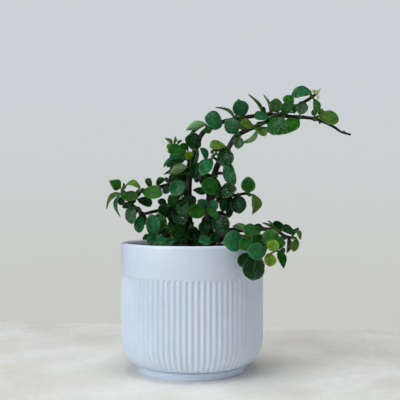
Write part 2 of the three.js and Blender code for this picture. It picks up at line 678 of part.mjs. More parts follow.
// Where each shoot is held: a ring round the nearest such wood, clear of the rings before it
const collars = {};
for (const [shoot, rows] of Object.entries(SHOOTS)) {
  const middle = vector(0, 0, 0);
  for (const [x, z, , , depth] of rows) middle.addScaledVector(seen(x, z, depth), 1 / rows.length);
  const away = (step) => step.at.distanceTo(middle) - step.radius;
  const taken = Object.values(collars);
  const free = woodLine.filter((step) => step.alone
    && taken.every((other) => other.at.distanceTo(step.at) > (other.limb === step.limb
      ? COLLAR_SPACING + BENT_SPACING * other.along.angleTo(step.along)
      : other.radius + step.radius + SIDE_SPACING)));
  collars[shoot] = free.reduce((best, step) => (away(step) < away(best) ? step : best));
}

// Where a leaf's stalk leaves its ring
function stalkRoot(leaf, collar) {
  const out = leaf.foot.clone().sub(collar.at);
  out.addScaledVector(collar.along, -out.dot(collar.along)).normalize();
  return collar.at.clone().addScaledVector(out, collar.radius + COLLAR_HOLD);
}

// Whether a leaf is clear of the pot, the soil, the wood, the rings and the leaves before it,
// which it then joins
function isClear(leaf, shoot) {
  const places = SAMPLES.map(([share, across]) => onLeaf(leaf, share, across));
  const root = stalkRoot(leaf, collars[shoot]);
  const stalk = STALK_SAMPLES.map((share) => root.clone().lerp(leaf.foot, share));
  const middle = onLeaf(leaf, 0.5, 0);
  for (const { x, y, z } of places) {
    const radius = Math.hypot(x, y);
    if (z < POT_HEIGHT + POT_CLEAR && radius < POT_RADIUS + POT_CLEAR) {
      if (radius > HOLLOW_RADIUS - POT_CLEAR || z < SOIL_TOP + POT_CLEAR) return false;
    }
  }
  for (const { at, radius } of woodLine) {
    if (at.distanceTo(middle) > 1.5 * leaf.length + radius) continue;
    if (stalk.some((place) => at.distanceTo(place) < radius + STALK_CLEAR)) return false;
    const clearance = (i) => (SAMPLES[i][0] === FIRST ? BASE_CLEAR : BLADE_CLEAR);
    if (places.some((place, i) => at.distanceTo(place) < radius + clearance(i))) return false;
  }
  for (const [name, collar] of Object.entries(collars)) {
    if (name === shoot) continue;
    if (places.some((place) => collar.at.distanceTo(place) < collar.radius + COLLAR_REACH)) return false;
  }
  for (const other of leaves) {
    if (other.middle.distanceTo(middle) > leaf.length + other.leaf.length) continue;
    const from = other.shoot === shoot ? OWN_FROM : OTHER_FROM;
    if (places.some((place, i) => SAMPLES[i][0] >= from && inLeaf(other.leaf, place, from))) return false;
    if (other.places.some((place, i) => SAMPLES[i][0] >= from && inLeaf(leaf, place, from))) return false;
    if (stalk.some((place) => inLeaf(other.leaf, place, from))) return false;
    if (other.stalk.some((place) => inLeaf(leaf, place, from))) return false;
  }
  leaves.push({ leaf, shoot, middle, places, stalk });
  return true;
}

// Where a place is seen from the front, in the plane of the pot's axis
function facing({ x, y, z }) {
  const share = EYE_DISTANCE / (EYE_DISTANCE + y);
  return new THREE.Vector2(EYE_X + (x - EYE_X) * share, EYE_HEIGHT + (z - EYE_HEIGHT) * share);
}

// All the leaves seen from the front. One that would cross another is moved along the line of sight until it
// is clear, and one that finds no room is left out.
const leaves = [];
for (const [shoot, rows] of Object.entries(SHOOTS)) {
  for (const row of rows) DEEPER.some((deeper) => isClear(leafFromRow(row, deeper), shoot));
}
const front = [...leaves];
const cover = [...front.flatMap(({ places }) => places), ...woodLine.map(({ at }) => at)].map(facing);

// Whether the front leaves and the wood cover a leaf behind them, but for a margin
function isCovered(leaf) {
  return SAMPLES.every(([share, across]) => {
    const place = facing(onLeaf(leaf, share, across));
    return cover.some((spot) => spot.distanceTo(place) < COVER_MARGIN);
  });
}

// The leaves behind them: each mirrors one in front across its limb, and is turned until it finds room
for (const { leaf, shoot } of front) {
  const depth = collars[shoot].at.y;
  if (leaf.length < BEHIND_LENGTH || depth > BEHIND_DEPTH) continue;
  const firstTurn = (draw() - 0.5) * BEHIND_TURN;
  const length = leaf.length * (BEHIND_SHARE + BEHIND_DRAW * draw());
  const footDepth = Math.max(2 * depth - leaf.foot.y, depth + BEHIND_STEP);
  const foot = outOfWood(vector(leaf.foot.x, footDepth, leaf.foot.z));
  TURNS.some((turn) => {
    const rib = vector(leaf.rib.x, Math.max(-leaf.rib.y, BEHIND_LEAN), leaf.rib.z).normalize();
    const face = vector(leaf.face.x, Math.max(-leaf.face.y, BEHIND_FACE), leaf.face.z);
    rib.applyAxisAngle(vector(0, 1, 0), firstTurn + turn);
    face.applyAxisAngle(vector(0, 1, 0), firstTurn + turn);
    const behind = makeLeaf(foot, rib, face, length, 2 * leaf.half / leaf.length, leaf.arch);
    return isCovered(behind) && isClear(behind, shoot);
  });
}

// Four corners round a place: left, upper, right and lower, across a direction
function diamond(place, direction, side, halfSide, halfThickness) {
  const left = side.clone().addScaledVector(direction, -side.dot(direction)).normalize();
  const upper = left.clone().cross(direction);
  return [
    place.clone().addScaledVector(left, -halfSide), place.clone().addScaledVector(upper, halfThickness),
    place.clone().addScaledVector(left, halfSide), place.clone().addScaledVector(upper, -halfThickness),
  ];
}

// One leaf as a solid: a stalk from its collar, then the blade in rings of four corners up to its tip
function leafSolid(leaf, collar, stations) {
  const root = stalkRoot(leaf, collar);
  const stalk = leaf.foot.clone().sub(root).normalize();
  const bend = stalk.clone().add(leaf.rib).normalize();
  const corners = diamond(root, stalk, leaf.side, STALK_RADIUS, STALK_RADIUS);
  if (leaf.foot.distanceTo(root) > SHORT_STALK) {
    corners.push(...diamond(leaf.foot, bend, leaf.side, STALK_RADIUS, STALK_RADIUS));
  }
  for (const share of stations) {
    corners.push(
      onLeaf(leaf, share, -1), onLeaf(leaf, share, 0, THICKNESS / 2),
      onLeaf(leaf, share, 1), onLeaf(leaf, share, 0, -THICKNESS / 2),
    );
  }
  corners.push(onLeaf(leaf, 1, 0));
  const tip = corners.length - 1;
  const faces = [[0, 2, 1], [0, 3, 2]];
  for (let i = 0; i < tip; i += 4) {
    for (let j = 0; j < 4; j += 1) {
      const a = i + j;
      const b = i + (j + 1) % 4;
      if (i + 4 === tip) faces.push([a, b, tip]);
      else faces.push([a, b, b + 4], [a, b + 4, a + 4]);
    }
  }
  return facesSolid(corners, faces);
}

// The ring that a pair of leaves leaves round its twig, which holds the shoot together
function collarSolid(collar) {
  const hole = (collar.radius + COLLAR_GAP) / Math.cos(Math.PI / COLLAR_SIDES);
  const outside = hole + COLLAR_WALL;
  const half = COLLAR_HEIGHT / 2;
  const profile = [[hole, -half], [outside, -half], [outside, half], [hole, half], [hole, -half]];
  const ring = turned(profile, COLLAR_SIDES);
  ring.applyQuaternion(new THREE.Quaternion().setFromUnitVectors(vector(0, 0, 1), collar.along));
  return solid(ring.translate(...collar.at.toArray()));
}

const glaze = new THREE.MeshStandardMaterial({ color: 0xdfe2e6, roughness: 0.3, metalness: 0 });
const earth = new THREE.MeshStandardMaterial({ color: 0x3a2c22, roughness: 0.95, metalness: 0 });
const bark = new THREE.MeshStandardMaterial({ color: 0x2e2722, roughness: 0.85, metalness: 0 });
const foliage = new THREE.MeshStandardMaterial({ color: 0x1f5a2c, roughness: 0.35, metalness: 0 });

const sleeve = wasm.Manifold.union(limbs.map((limb) => limbSolid(limb, GAP)));
addMesh('pot', potSolid(), glaze);
const wood = trimmed(wasm.Manifold.union(limbs.map((limb) => limbSolid(limb, 0))));
addMesh('wood', wood, bark);

const filling = solid(turned([
  [0, FLOOR + GAP], [HOLLOW_RADIUS - FLOOR_ROUND - GAP, FLOOR + GAP],
  [HOLLOW_RADIUS - GAP, FLOOR + FLOOR_ROUND + GAP], [HOLLOW_RADIUS - GAP, SOIL_TOP], [0, SOIL_TOP],
], HOLLOW_SIDES));
addMesh('soil', filling.subtract(sleeve), earth);

for (const [shoot, collar] of Object.entries(collars)) {
  const own = leaves.filter((entry) => entry.shoot === shoot);
  const bodies = own.map((entry) => {
    const few = entry.leaf.length < SMALL || !front.includes(entry);
    return leafSolid(entry.leaf, collar, few ? FEW_STATIONS : STATIONS.slice(1, -1));
  });
  const joined = wasm.Manifold.union([collarSolid(collar), ...bodies]);
  const clear = joined.intersect(wood).isEmpty() ? joined : joined.subtract(sleeve);
  addMesh(`leaves_${shoot}`, trimmed(largest(clear)), foliage);
}

export default group;
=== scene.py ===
# %% [markdown]
# # A jade bonsai in a ribbed white pot
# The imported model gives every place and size. This lesson dresses it: a glazed pot with fine ribs, loose
# soil, a limb system with bark, and thick glossy leaves, each one on the spot where the plain model has it.

# %% The fixed frame
import math
import random

import bmesh
import bpy
from mathutils import Matrix, Quaternion, Vector, noise
from mathutils.kdtree import KDTree


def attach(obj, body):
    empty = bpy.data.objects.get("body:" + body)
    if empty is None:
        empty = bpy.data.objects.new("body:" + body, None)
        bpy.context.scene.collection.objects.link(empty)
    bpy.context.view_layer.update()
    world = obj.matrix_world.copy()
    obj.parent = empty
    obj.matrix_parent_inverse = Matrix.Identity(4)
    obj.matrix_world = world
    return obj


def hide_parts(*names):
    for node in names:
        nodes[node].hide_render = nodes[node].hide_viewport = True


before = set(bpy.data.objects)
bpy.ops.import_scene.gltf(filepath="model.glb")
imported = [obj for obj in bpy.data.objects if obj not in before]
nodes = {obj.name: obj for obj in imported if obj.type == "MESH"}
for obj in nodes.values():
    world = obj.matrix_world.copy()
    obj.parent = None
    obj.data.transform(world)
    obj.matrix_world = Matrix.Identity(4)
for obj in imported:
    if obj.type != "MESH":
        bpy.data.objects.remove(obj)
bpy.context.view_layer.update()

MM = 0.001
print("nodes in the frame:", len(nodes))

# %% [markdown]
# ## Camera
# The photograph is taken level, a little above the middle of the plant. The film is 36 mm wide, and the lens
# makes a metre at a metre's distance 745 pixels wide in a picture of 400. The horizon is 4 pixels over the
# middle, which the shift gives.

# %% Camera at the photograph's angle
EYE = Vector((6.8, -632, 146.3))
LENS = 67.05
HORIZON_SHIFT = -0.01
camera = bpy.data.objects.new("camera", bpy.data.cameras.new("camera"))
camera.data.lens = LENS
camera.data.sensor_width = 36
camera.data.shift_y = HORIZON_SHIFT
camera.data.clip_end = 20
camera.location = EYE * MM
camera.rotation_euler = (math.pi / 2, 0, 0)
bpy.context.scene.collection.objects.link(camera)
bpy.context.scene.camera = camera
print("camera at", tuple(camera.location))

# %% [markdown]
# ## Helpers
# A piece is first made in millimetres in a bmesh, then scaled once into metres. Its object stays at the
# origin, as the frame's objects do.


# %% Making a piece from a bmesh
def make_object(name, bm, recipe):
    bmesh.ops.scale(bm, vec=(MM, MM, MM), verts=bm.verts)
    mesh = bpy.data.meshes.new(name)
    bm.to_mesh(mesh)
    bm.free()
    mesh.materials.append(recipe.material)
    made = bpy.data.objects.new(name, mesh)
    bpy.context.scene.collection.objects.link(made)
    return made


def finish_piece(name, bm, recipe, replaced=None, smooth=True):
    piece = make_object(name, bm, recipe)
    if smooth:
        piece.data.shade_smooth()
    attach(piece, "root")
    if replaced:
        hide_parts(replaced)
    return piece


# %% [markdown]
# The pot and the soil are both outlines spun round the pot's axis, and corners that meet there are welded.


# %% Spinning an outline
WELD = 0.001


def spun(outline, steps):
    bm = bmesh.new()
    corners = [bm.verts.new((radius, 0, z)) for radius, z in outline]
    chain = [bm.edges.new(pair) for pair in zip(corners, corners[1:])]
    bmesh.ops.spin(bm, geom=corners + chain, cent=(0, 0, 0), axis=(0, 0, 1), angle=2 * math.pi,
                   steps=steps, use_merge=True)
    bmesh.ops.remove_doubles(bm, verts=bm.verts, dist=WELD)
    return bm


# %% [markdown]
# Materials and the world are short recipes of nodes. These helpers add a node, and join a value or another
# node's output to one of its sockets.


# %% Building a node tree
class Tree:
    def __init__(self, owner):
        owner.use_nodes = True
        self.tree = owner.node_tree

    def node(self, kind, inputs=None, **settings):
        node = self.tree.nodes.new(kind)
        for key, value in settings.items():
            setattr(node, key, value)
        for key, value in (inputs or {}).items():
            self.put(node.inputs[key], value)
        return node

    def put(self, socket, value):
        if hasattr(value, "outputs"):
            value = value.outputs[0]
        if hasattr(value, "is_linked"):
            self.tree.links.new(value, socket)
        else:
            socket.default_value = value

    def places(self, kind="Object"):
        return self.node("ShaderNodeTexCoord").outputs[kind]

    def noise(self, vector, scale, detail=3, roughness=0.5):
        return self.node("ShaderNodeTexNoise", {
            "Vector": vector, "Scale": scale, "Detail": detail, "Roughness": roughness}).outputs["Fac"]

    def math(self, operation, first, second=0.5):
        return self.node("ShaderNodeMath", {0: first, 1: second}, operation=operation).outputs[0]

    def times(self, first, second):
        return self.math("MULTIPLY", first, second)

    def ramp(self, factor, low, high, start=0.0, end=1.0):
        return self.node("ShaderNodeMapRange", {
            "Value": factor, "From Min": low, "From Max": high, "To Min": start, "To Max": end,
        }, interpolation_type="SMOOTHSTEP").outputs[0]

    def mix(self, factor, first, second, blend="MIX"):
        node = self.tree.nodes.new("ShaderNodeMix")
        node.data_type = "RGBA"
        node.blend_type = blend
        self.put(node.inputs[0], factor)
        self.put(node.inputs[6], first)
        self.put(node.inputs[7], second)
        return node.outputs[2]

    def bump(self, height, distance, strength=1.0, normal=None):
        inputs = {"Height": height, "Distance": distance, "Strength": strength}
        if normal is not None:
            inputs["Normal"] = normal
        return self.node("ShaderNodeBump", inputs).outputs[0]


class Recipe(Tree):
    def __init__(self, name):
        self.material = bpy.data.materials.new(name)
        super().__init__(self.material)
        self.tree.nodes.clear()
        self.shader = self.node("ShaderNodeBsdfPrincipled")
        self.node("ShaderNodeOutputMaterial", {0: self.shader})

    def set(self, **inputs):
        for key, value in inputs.items():
            self.put(self.shader.inputs[key.replace("_", " ")], value)


def rgb(red, green, blue):
    """A colour as it is read off a screen, from 0 to 255, made linear for the shader."""
    linear = [c / 255 / 12.92 if c < 11 else ((c / 255 + 0.055) / 1.055) ** 2.4
              for c in (red, green, blue)]
    return (*linear, 1)


# %% [markdown]
# ## Pot
# The real pot is slip-cast: eighty soft flutes pressed into a turned body, under a plain band. A single
# outline is spun round the axis, and each flute is then pressed in along its own line, so that the glaze
# seems to round off every edge.

# %% Outline of the pot
POT_RADIUS = 60
POT_HEIGHT = 107.5
RIBS = 80
RIB_DEPTH = 1.2
RIB_TOP = 80.6
FOOT_RADIUS = 45.4
BOWL_START = 6.8
BOWL_HEIGHT = 23
HOLLOW_RADIUS = 55.5
HOLLOW_BEND = 28
FLOOR = 10
STEPS_PER_RIB = 10
RIB_FADE = 1.4
pot_outline = [(0, 0), (43, 0), (44.9, 0), (FOOT_RADIUS, 0.5), (FOOT_RADIUS, 5.2), (45, 5.8)]
pot_outline += [(43.9, 6.1), (43.6, 6.6), (44.2, 6.8)]
for degrees in range(8, 91, 8):
    angle = math.radians(degrees)
    pot_outline.append((FOOT_RADIUS + (POT_RADIUS - FOOT_RADIUS) * math.sin(angle),
                        BOWL_START + BOWL_HEIGHT * (1 - math.cos(angle))))
pot_outline += [(POT_RADIUS, 31), (POT_RADIUS, 48), (POT_RADIUS, 65)]
pot_outline += [(POT_RADIUS, z) for z in (77, 78.4, 79.4, 80.2, 80.8, 81.3, 81.9, 82.6, 84, 90, 104.8)]
pot_outline += [(59.86, 105.7), (59.5, 106.6), (58.9, 107.2), (58.2, 107.46), (57.6, POT_HEIGHT)]
pot_outline += [(57, 107.4), (56.3, 107.0), (55.8, 106.3), (55.6, 105.3), (HOLLOW_RADIUS, 103)]
pot_outline += [(HOLLOW_RADIUS, 60), (HOLLOW_RADIUS, HOLLOW_BEND), (37.5, FLOOR), (0, FLOOR)]
print("corners of the outline:", len(pot_outline))

# %% Spin it and press in the flutes
bm = spun(pot_outline, RIBS * STEPS_PER_RIB)
for vert in bm.verts:
    radius = math.hypot(vert.co.x, vert.co.y)
    fluted = radius >= FOOT_RADIUS and BOWL_START < vert.co.z <= RIB_TOP + RIB_FADE
    inner = radius <= HOLLOW_RADIUS + 0.01 and vert.co.z > HOLLOW_BEND - 1
    if inner or not fluted:
        continue
    turn = math.atan2(vert.co.y, vert.co.x) / (2 * math.pi) * RIBS
    valley = 0.5 - 0.5 * math.cos(2 * math.pi * turn)
    end = RIB_TOP - 1.2 + 2.2 * valley
    fade = min(max((end - vert.co.z) / RIB_FADE, 0), 1)
    press = RIB_DEPTH * valley * fade * fade * (3 - 2 * fade)
    vert.co.xy *= 1 - press / radius
bmesh.ops.recalc_face_normals(bm, faces=bm.faces)
print("faces of the pot:", len(bm.faces))

# %% [markdown]
# The glaze is a cool white with a satin gloss. A real glaze pools a little, so its gloss and its height
# wander slowly, and a few tiny pits break it.

# %% White glaze
glaze = Recipe("white_glaze")
place = glaze.places()
clouds = glaze.noise(place, 18, 4)
pits = glaze.noise(place, 900, 2)
glaze.set(Base_Color=glaze.mix(glaze.ramp(clouds, 0.3, 0.7), rgb(215, 225, 240), rgb(222, 231, 245)),
          Roughness=glaze.ramp(glaze.noise(place, 60, 3), 0.3, 0.7, 0.4, 0.5),
          Specular_IOR_Level=0.25, Coat_Weight=0.06, Coat_Roughness=0.12,
          Normal=glaze.bump(glaze.ramp(pits, 0.62, 0.8), 0.00006, 0.5,
                            glaze.bump(clouds, 0.0006, 0.35)))
finish_piece("ribbed_pot", bm, glaze, replaced="pot")

# %% [markdown]
# ## Soil
# Potting soil for succulents is dark, crumbly and full of grit. Its body is a spun solid that fills the pot.
# The top rings are lifted and lowered by a noise, and crumbs lie half sunk in them.

# %% Body of the soil
SOIL_TOP = 102.5
GAP = 0.3
SOIL_RADIUS = HOLLOW_RADIUS - GAP
SOIL_RINGS = 44
SOIL_SIDES = 160
soil_outline = [(0, FLOOR + GAP), (37.2, FLOOR + GAP), (SOIL_RADIUS, HOLLOW_BEND + GAP)]
soil_outline += [(SOIL_RADIUS, SOIL_TOP - 1.5)]
soil_outline += [(SOIL_RADIUS * (1 - ring / SOIL_RINGS), SOIL_TOP) for ring in range(SOIL_RINGS)]
soil_outline += [(0, SOIL_TOP)]
bm = spun(soil_outline, SOIL_SIDES)


def soil_height(x, y):
    lumps = noise.noise(Vector((x, y, 0)) / 14) * 1.1
    grain = noise.noise(Vector((x, y, 7)) / 2.2) * 0.7
    return SOIL_TOP + lumps + grain


for vert in bm.verts:
    if vert.co.z > SOIL_TOP - 0.1:
        vert.co.z = soil_height(vert.co.x, vert.co.y)
bmesh.ops.recalc_face_normals(bm, faces=bm.faces)

# %% Crumbs and grit
chance = random.Random(11)
CRUMBS = 620
for _ in range(CRUMBS):
    reach = (SOIL_RADIUS - 2.4) * math.sqrt(chance.random())
    turn = chance.uniform(0, 2 * math.pi)
    x, y = reach * math.cos(turn), reach * math.sin(turn)
    size = chance.uniform(0.5, 1.3) if chance.random() < 0.85 else chance.uniform(1.3, 2.1)
    shape = Matrix.Translation((x, y, soil_height(x, y) + 0.15 * size))
    shape @= Matrix.Rotation(chance.uniform(0, math.pi), 4, Vector((chance.random(), chance.random(), 0.3)))
    shape @= Matrix.Diagonal((chance.uniform(0.8, 1.3), chance.uniform(0.7, 1), chance.uniform(0.5, 0.8), 1))
    crumb = bmesh.ops.create_icosphere(bm, subdivisions=1, radius=size, matrix=shape)["verts"]
    for vert in crumb:
        push = Vector((chance.uniform(-1, 1), chance.uniform(-1, 1), chance.uniform(-1, 1)))
        vert.co += push * 0.16 * size
print("soil faces:", len(bm.faces))

# %% Dark soil
earth = Recipe("dark_soil")
place = earth.places()
tint = earth.mix(earth.ramp(earth.noise(place, 160, 4, 0.7), 0.35, 0.7), rgb(28, 21, 17), rgb(74, 56, 42))
grit = earth.ramp(earth.noise(place, 420, 2), 0.63, 0.72)
earth.set(Base_Color=earth.mix(grit, tint, rgb(118, 104, 86)), Roughness=0.95,
          Normal=earth.bump(earth.noise(place, 700, 5, 0.7), 0.0006, 0.8))
finish_piece("soil_fill", bm, earth, replaced="soil", smooth=False)

# %% [markdown]
# ## Limbs
# Each limb is written as points: where it is seen from the front (x, z), its depth y and its radius. A point
# seen from the front lies on a line from the eye, at its depth.

# %% The limbs' points
LIMBS = {
    "leader": [
        (6, 89, 0, 8.6), (6, 98, 0, 9.2), (4, 105, 0, 8), (0, 112, 0, 6.2), (-3, 119, 0, 5),
        (-4, 128, 1, 4.4), (-3.6, 140, 1, 3.7), (-3.4, 151, 1, 3.2), (-2.6, 160, 2, 2.7),
        (-1.7, 174, 2, 2.4), (3.4, 187, 3, 2.2), (8.5, 199, 4, 2.1), (17, 205.6, 5, 2),
        (25.5, 209, 5, 1.9), (39, 212, 6, 1.8), (54.3, 214.4, 6, 1.7),
        (66.2, 215.4, 6, 1.6), (79.8, 214, 6, 1.6), (95, 213, 6, 1.5), (106, 211.3, 6, 1.45),
        (113.7, 208.2, 5, 1.3), (120.5, 204.8, 5, 1.15), (126.4, 200.8, 4, 1), (134.5, 198.4, 4, 0.95)],
    "right": [
        (7, 98, -1, 5), (12, 107, -2, 4.9), (14, 116, -3, 4.4), (14.3, 127, -4, 3.8), (15, 142.9, -5, 3.2),
        (17.8, 160, -6, 2.7), (22.3, 173.5, -7, 2.4), (31.4, 188, -8, 2.1), (37, 197, -9, 2),
        (42.8, 200.2, -10, 1.9), (54.8, 205.6, -10, 1.7), (64.5, 210.2, -10, 1.6), (78.9, 218.2, -10, 1.5),
        (94.2, 225.6, -9, 1.4), (103.3, 231.4, -8, 1.3), (108, 236.4, -8, 0.8)],
    "left": [
        (-3.4, 147, 1, 2.8), (-10, 152, -4, 2.3), (-20, 155.2, -9, 1.9), (-32, 152.3, -13, 1.6),
        (-43, 150.2, -15, 1.3), (-46, 146.4, -15, 1.2), (-53, 148.2, -14, 1.1), (-60.5, 151, -13, 0.9)],
    "left_stub": [(-17, 154.7, -8, 1.9), (-19.5, 158, -7, 1.8), (-22.8, 161.4, -6, 1.7)],
    "left_low": [
        (-4, 130, 1, 2.6), (-13, 135.6, -4, 2), (-25, 134.4, -9, 1.6), (-34, 132.8, -12, 1.4),
        (-41, 131.4, -13, 1.2), (-46, 134.6, -13, 1.1)],
    "left_rim": [(1, 107, -4, 3.4), (-8, 111.5, -16, 2.3), (-20, 112.5, -27, 1.8), (-30, 111.4, -35, 1.3)],
    "crown_left": [(-1.4, 175, 2, 2.1), (-6, 182.5, 0, 1.4), (-11, 187, -1, 1.2), (-14.5, 190, -2, 1)],
    "centre_twig": [
        (15.2, 146, -5, 2.4), (25.5, 147.4, -8, 1.5), (37.3, 146.8, -10, 1.3), (45, 148.4, -11, 1.2),
        (50.4, 147, -11, 1)],
    "upper_twig": [(23.8, 176, -7, 2), (20.6, 177.4, -9, 1.2), (16.4, 180.4, -10, 1)],
    "over_rim": [
        (12, 104, -3, 4.6), (20, 110, -14, 3.2), (27, 112.8, -30, 2.4), (35, 113.2, -45, 2),
        (44, 111.2, -54, 1.8), (53, 108.6, -56, 1.6), (61, 105.6, -54, 1.4), (67, 102.6, -51, 1.2),
        (73.5, 99.4, -49, 0.9)],
    "over_rim_low": [(59, 106.4, -55, 1.4), (58.6, 100.5, -56, 1.2), (54.6, 96, -56, 1)],
    "far_right": [
        (13.5, 110, -1, 4), (28, 116, -6, 2.7), (42, 117.6, -12, 2.2), (59.4, 118.4, -16, 1.8),
        (72, 116.4, -18, 1.5), (79.6, 112, -18, 1.3), (89, 110.4, -18, 0.9)],
    "back_high": [(-3, 157, 2, 2.4), (-1, 162, 11, 1.7), (1, 166, 20, 1.4), (2, 170, 28, 1.1)],
    "back_low": [(-3, 131, 1, 3), (-7, 136, 11, 2), (-9, 140, 21, 1.6), (-8, 145, 31, 1.2)],
    "back_right": [(15.4, 149, -5, 2.3), (19, 153, 5, 1.8), (23, 153.6, 15, 1.4), (26, 151.6, 24, 1.1)],
    "back_rim": [(2, 106, 4, 3.6), (-9, 111, 18, 2.3), (-19, 112.6, 30, 1.7), (-27, 112, 38, 1.2)],
}


def seen(x, z, y):
    reach = (y - EYE.y) / -EYE.y
    return Vector((EYE.x + (x - EYE.x) * reach, y, EYE.z + (z - EYE.z) * reach))


def placed(rows):
    return [(seen(x, z, y), radius) for x, z, y, radius in rows]


limbs = {name: placed(rows) for name, rows in LIMBS.items()}
print("limbs:", len(limbs))

# %% [markdown]
# A limb's centre line is a smooth curve through its points. Round every place on it stands a ring of
# corners, and neighbouring rings are bridged. Jade stems swell where leaves have dropped, so the radius
# grows a little every few millimetres.


# %% Smooth rings along a limb
def smooth_line(points, step):
    places = []
    for i in range(len(points) - 1):
        before, (start, first), (stop, second) = points[max(i - 1, 0)][0], points[i], points[i + 1]
        after = points[min(i + 2, len(points) - 1)][0]
        count = max(2, math.ceil((stop - start).length / step))
        for j in range(count):
            t = j / count
            bend_in = stop - start if i == 0 else (stop - before) * 0.5
            bend_out = stop - start if i == len(points) - 2 else (after - start) * 0.5
            bend_in *= (stop - start).length / max(bend_in.length, 0.01)
            bend_out *= (stop - start).length / max(bend_out.length, 0.01)
            at = ((2 * t ** 3 - 3 * t ** 2 + 1) * start + (t ** 3 - 2 * t ** 2 + t) * bend_in
                  + (3 * t ** 2 - 2 * t ** 3) * stop + (t ** 3 - t ** 2) * bend_out)
            places.append((at, first + (second - first) * t))
    return places + [points[-1]]


def tube(bm, places, sides):
    """Bridged rings round a line of places, closed at both ends."""
    across = Vector((1, 0, 0))
    edges = None
    for i, (at, radius) in enumerate(places):
        along = (places[min(i + 1, len(places) - 1)][0] - places[max(i - 1, 0)][0]).normalized()
        across = across - along * across.dot(along)
        if across.length < 0.1:
            across = along.orthogonal()
        across.normalize()
        turn = Matrix((across, along.cross(across), along)).transposed().to_4x4()
        capped = i in (0, len(places) - 1)
        ring = bmesh.ops.create_circle(bm, segments=sides, radius=radius, cap_ends=capped,
                                       matrix=Matrix.Translation(at) @ turn)["verts"]
        here = list({edge for vert in ring for edge in vert.link_edges})
        if edges:
            bmesh.ops.bridge_loops(bm, edges=edges + here)
        edges = here


# %% The wood in one piece
NODE_STEP = 7.5
SWELLING = 0.14
THICK_LIMB = 4
bm = bmesh.new()
for number, points in enumerate(limbs.values()):
    thick = points[0][1] > THICK_LIMB
    line = smooth_line(points, 1.4 if thick else 1.1)
    travelled = 0
    places = []
    for i, (at, radius) in enumerate(line):
        if i:
            travelled += (at - line[i - 1][0]).length
        near = (travelled / NODE_STEP + number * 0.37) % 1
        swelling = math.exp(-((near - 0.5) / 0.09) ** 2)
        knots = 1 + SWELLING * swelling * min(1.6 / radius, 1)
        wander = 1 + 0.05 * noise.noise(at / 5)
        places.append((at, radius * knots * wander))
    tube(bm, places, 18 if thick else 12)
bmesh.ops.recalc_face_normals(bm, faces=bm.faces)
print("faces of the limbs:", len(bm.faces))

# %% Small growths: a spur and bare knobs
GROWTHS = [
    [(108.2, 208.9, 5.6, 0.8), (108.6, 206.9, 5.4, 0.4)],
    [(105.8, 211.4, 6, 1), (106.2, 213.2, 5.8, 0.7)],
    [(128.6, 200.2, 4, 1), (129.2, 201.7, 3.9, 0.7)],
    [(133, 198.7, 4, 1.05), (134.2, 198.4, 4, 1.15), (134.9, 198.2, 4, 0.7)],
]
for growth in GROWTHS:
    tube(bm, smooth_line(placed(growth), 0.7), 10)

# %% [markdown]
# Where a limb leaves another, the bark runs on without a seam. A voxel remesh at under half a millimetre
# melts all the tubes into one skin, and two smoothing passes take away its steps. Then the bark's own
# relief, fine lengthwise furrows, is put back by moving the skin along its normals.

# %% One skin for all the wood
VOXEL = 0.45
rough = bpy.data.meshes.new("limbs_rough")
bmesh.ops.recalc_face_normals(bm, faces=bm.faces)
bmesh.ops.scale(bm, vec=(MM, MM, MM), verts=bm.verts)
bm.to_mesh(rough)
bm.free()
holder = bpy.data.objects.new("limbs_rough", rough)
bpy.context.scene.collection.objects.link(holder)
remesh = holder.modifiers.new("skin", "REMESH")
remesh.mode = "VOXEL"
remesh.voxel_size = VOXEL * MM
skinned = bpy.data.meshes.new_from_object(holder.evaluated_get(bpy.context.evaluated_depsgraph_get()))
bpy.data.objects.remove(holder)
bm = bmesh.new()
bm.from_mesh(skinned)
bmesh.ops.scale(bm, vec=(1 / MM, 1 / MM, 1 / MM), verts=bm.verts)
for _ in range(2):
    bmesh.ops.smooth_vert(bm, verts=bm.verts, factor=0.5, use_axis_x=True, use_axis_y=True, use_axis_z=True)
bm.normal_update()
for vert in bm.verts:
    furrows = noise.fractal(Vector((vert.co.x * 1.3, vert.co.y * 1.3, vert.co.z * 0.45)), 0.9, 2.1, 3)
    vert.co += vert.normal * (0.02 + 0.13 * furrows)
print("faces of the wood:", len(bm.faces))

# %% [markdown]
# The bark is nearly black and dull, darkest in its furrows, where shade is painted in, with slightly paler dry
# patches.

# %% Bark
bark = Recipe("jade_bark")
place = bark.places()
stretched = bark.node("ShaderNodeMapping", {"Vector": place, "Scale": (1, 1, 0.4)}).outputs[0]
furrow = bark.noise(stretched, 750, 5, 0.65)
patch = bark.ramp(bark.noise(place, 130, 3), 0.42, 0.68)
# Darker in the furrows: painted shade in the bark's hollows.
tint = bark.mix(bark.ramp(furrow, 0.35, 0.65), rgb(10, 7, 7), rgb(31, 24, 22))
bark.set(Base_Color=bark.mix(patch, tint, rgb(38, 31, 29)),
         Roughness=bark.ramp(furrow, 0.3, 0.7, 0.9, 0.65),
         Specular_IOR_Level=0.3, Normal=bark.bump(furrow, 0.0004, 0.8))
finish_piece("limbs_and_trunk", bm, bark, replaced="wood")
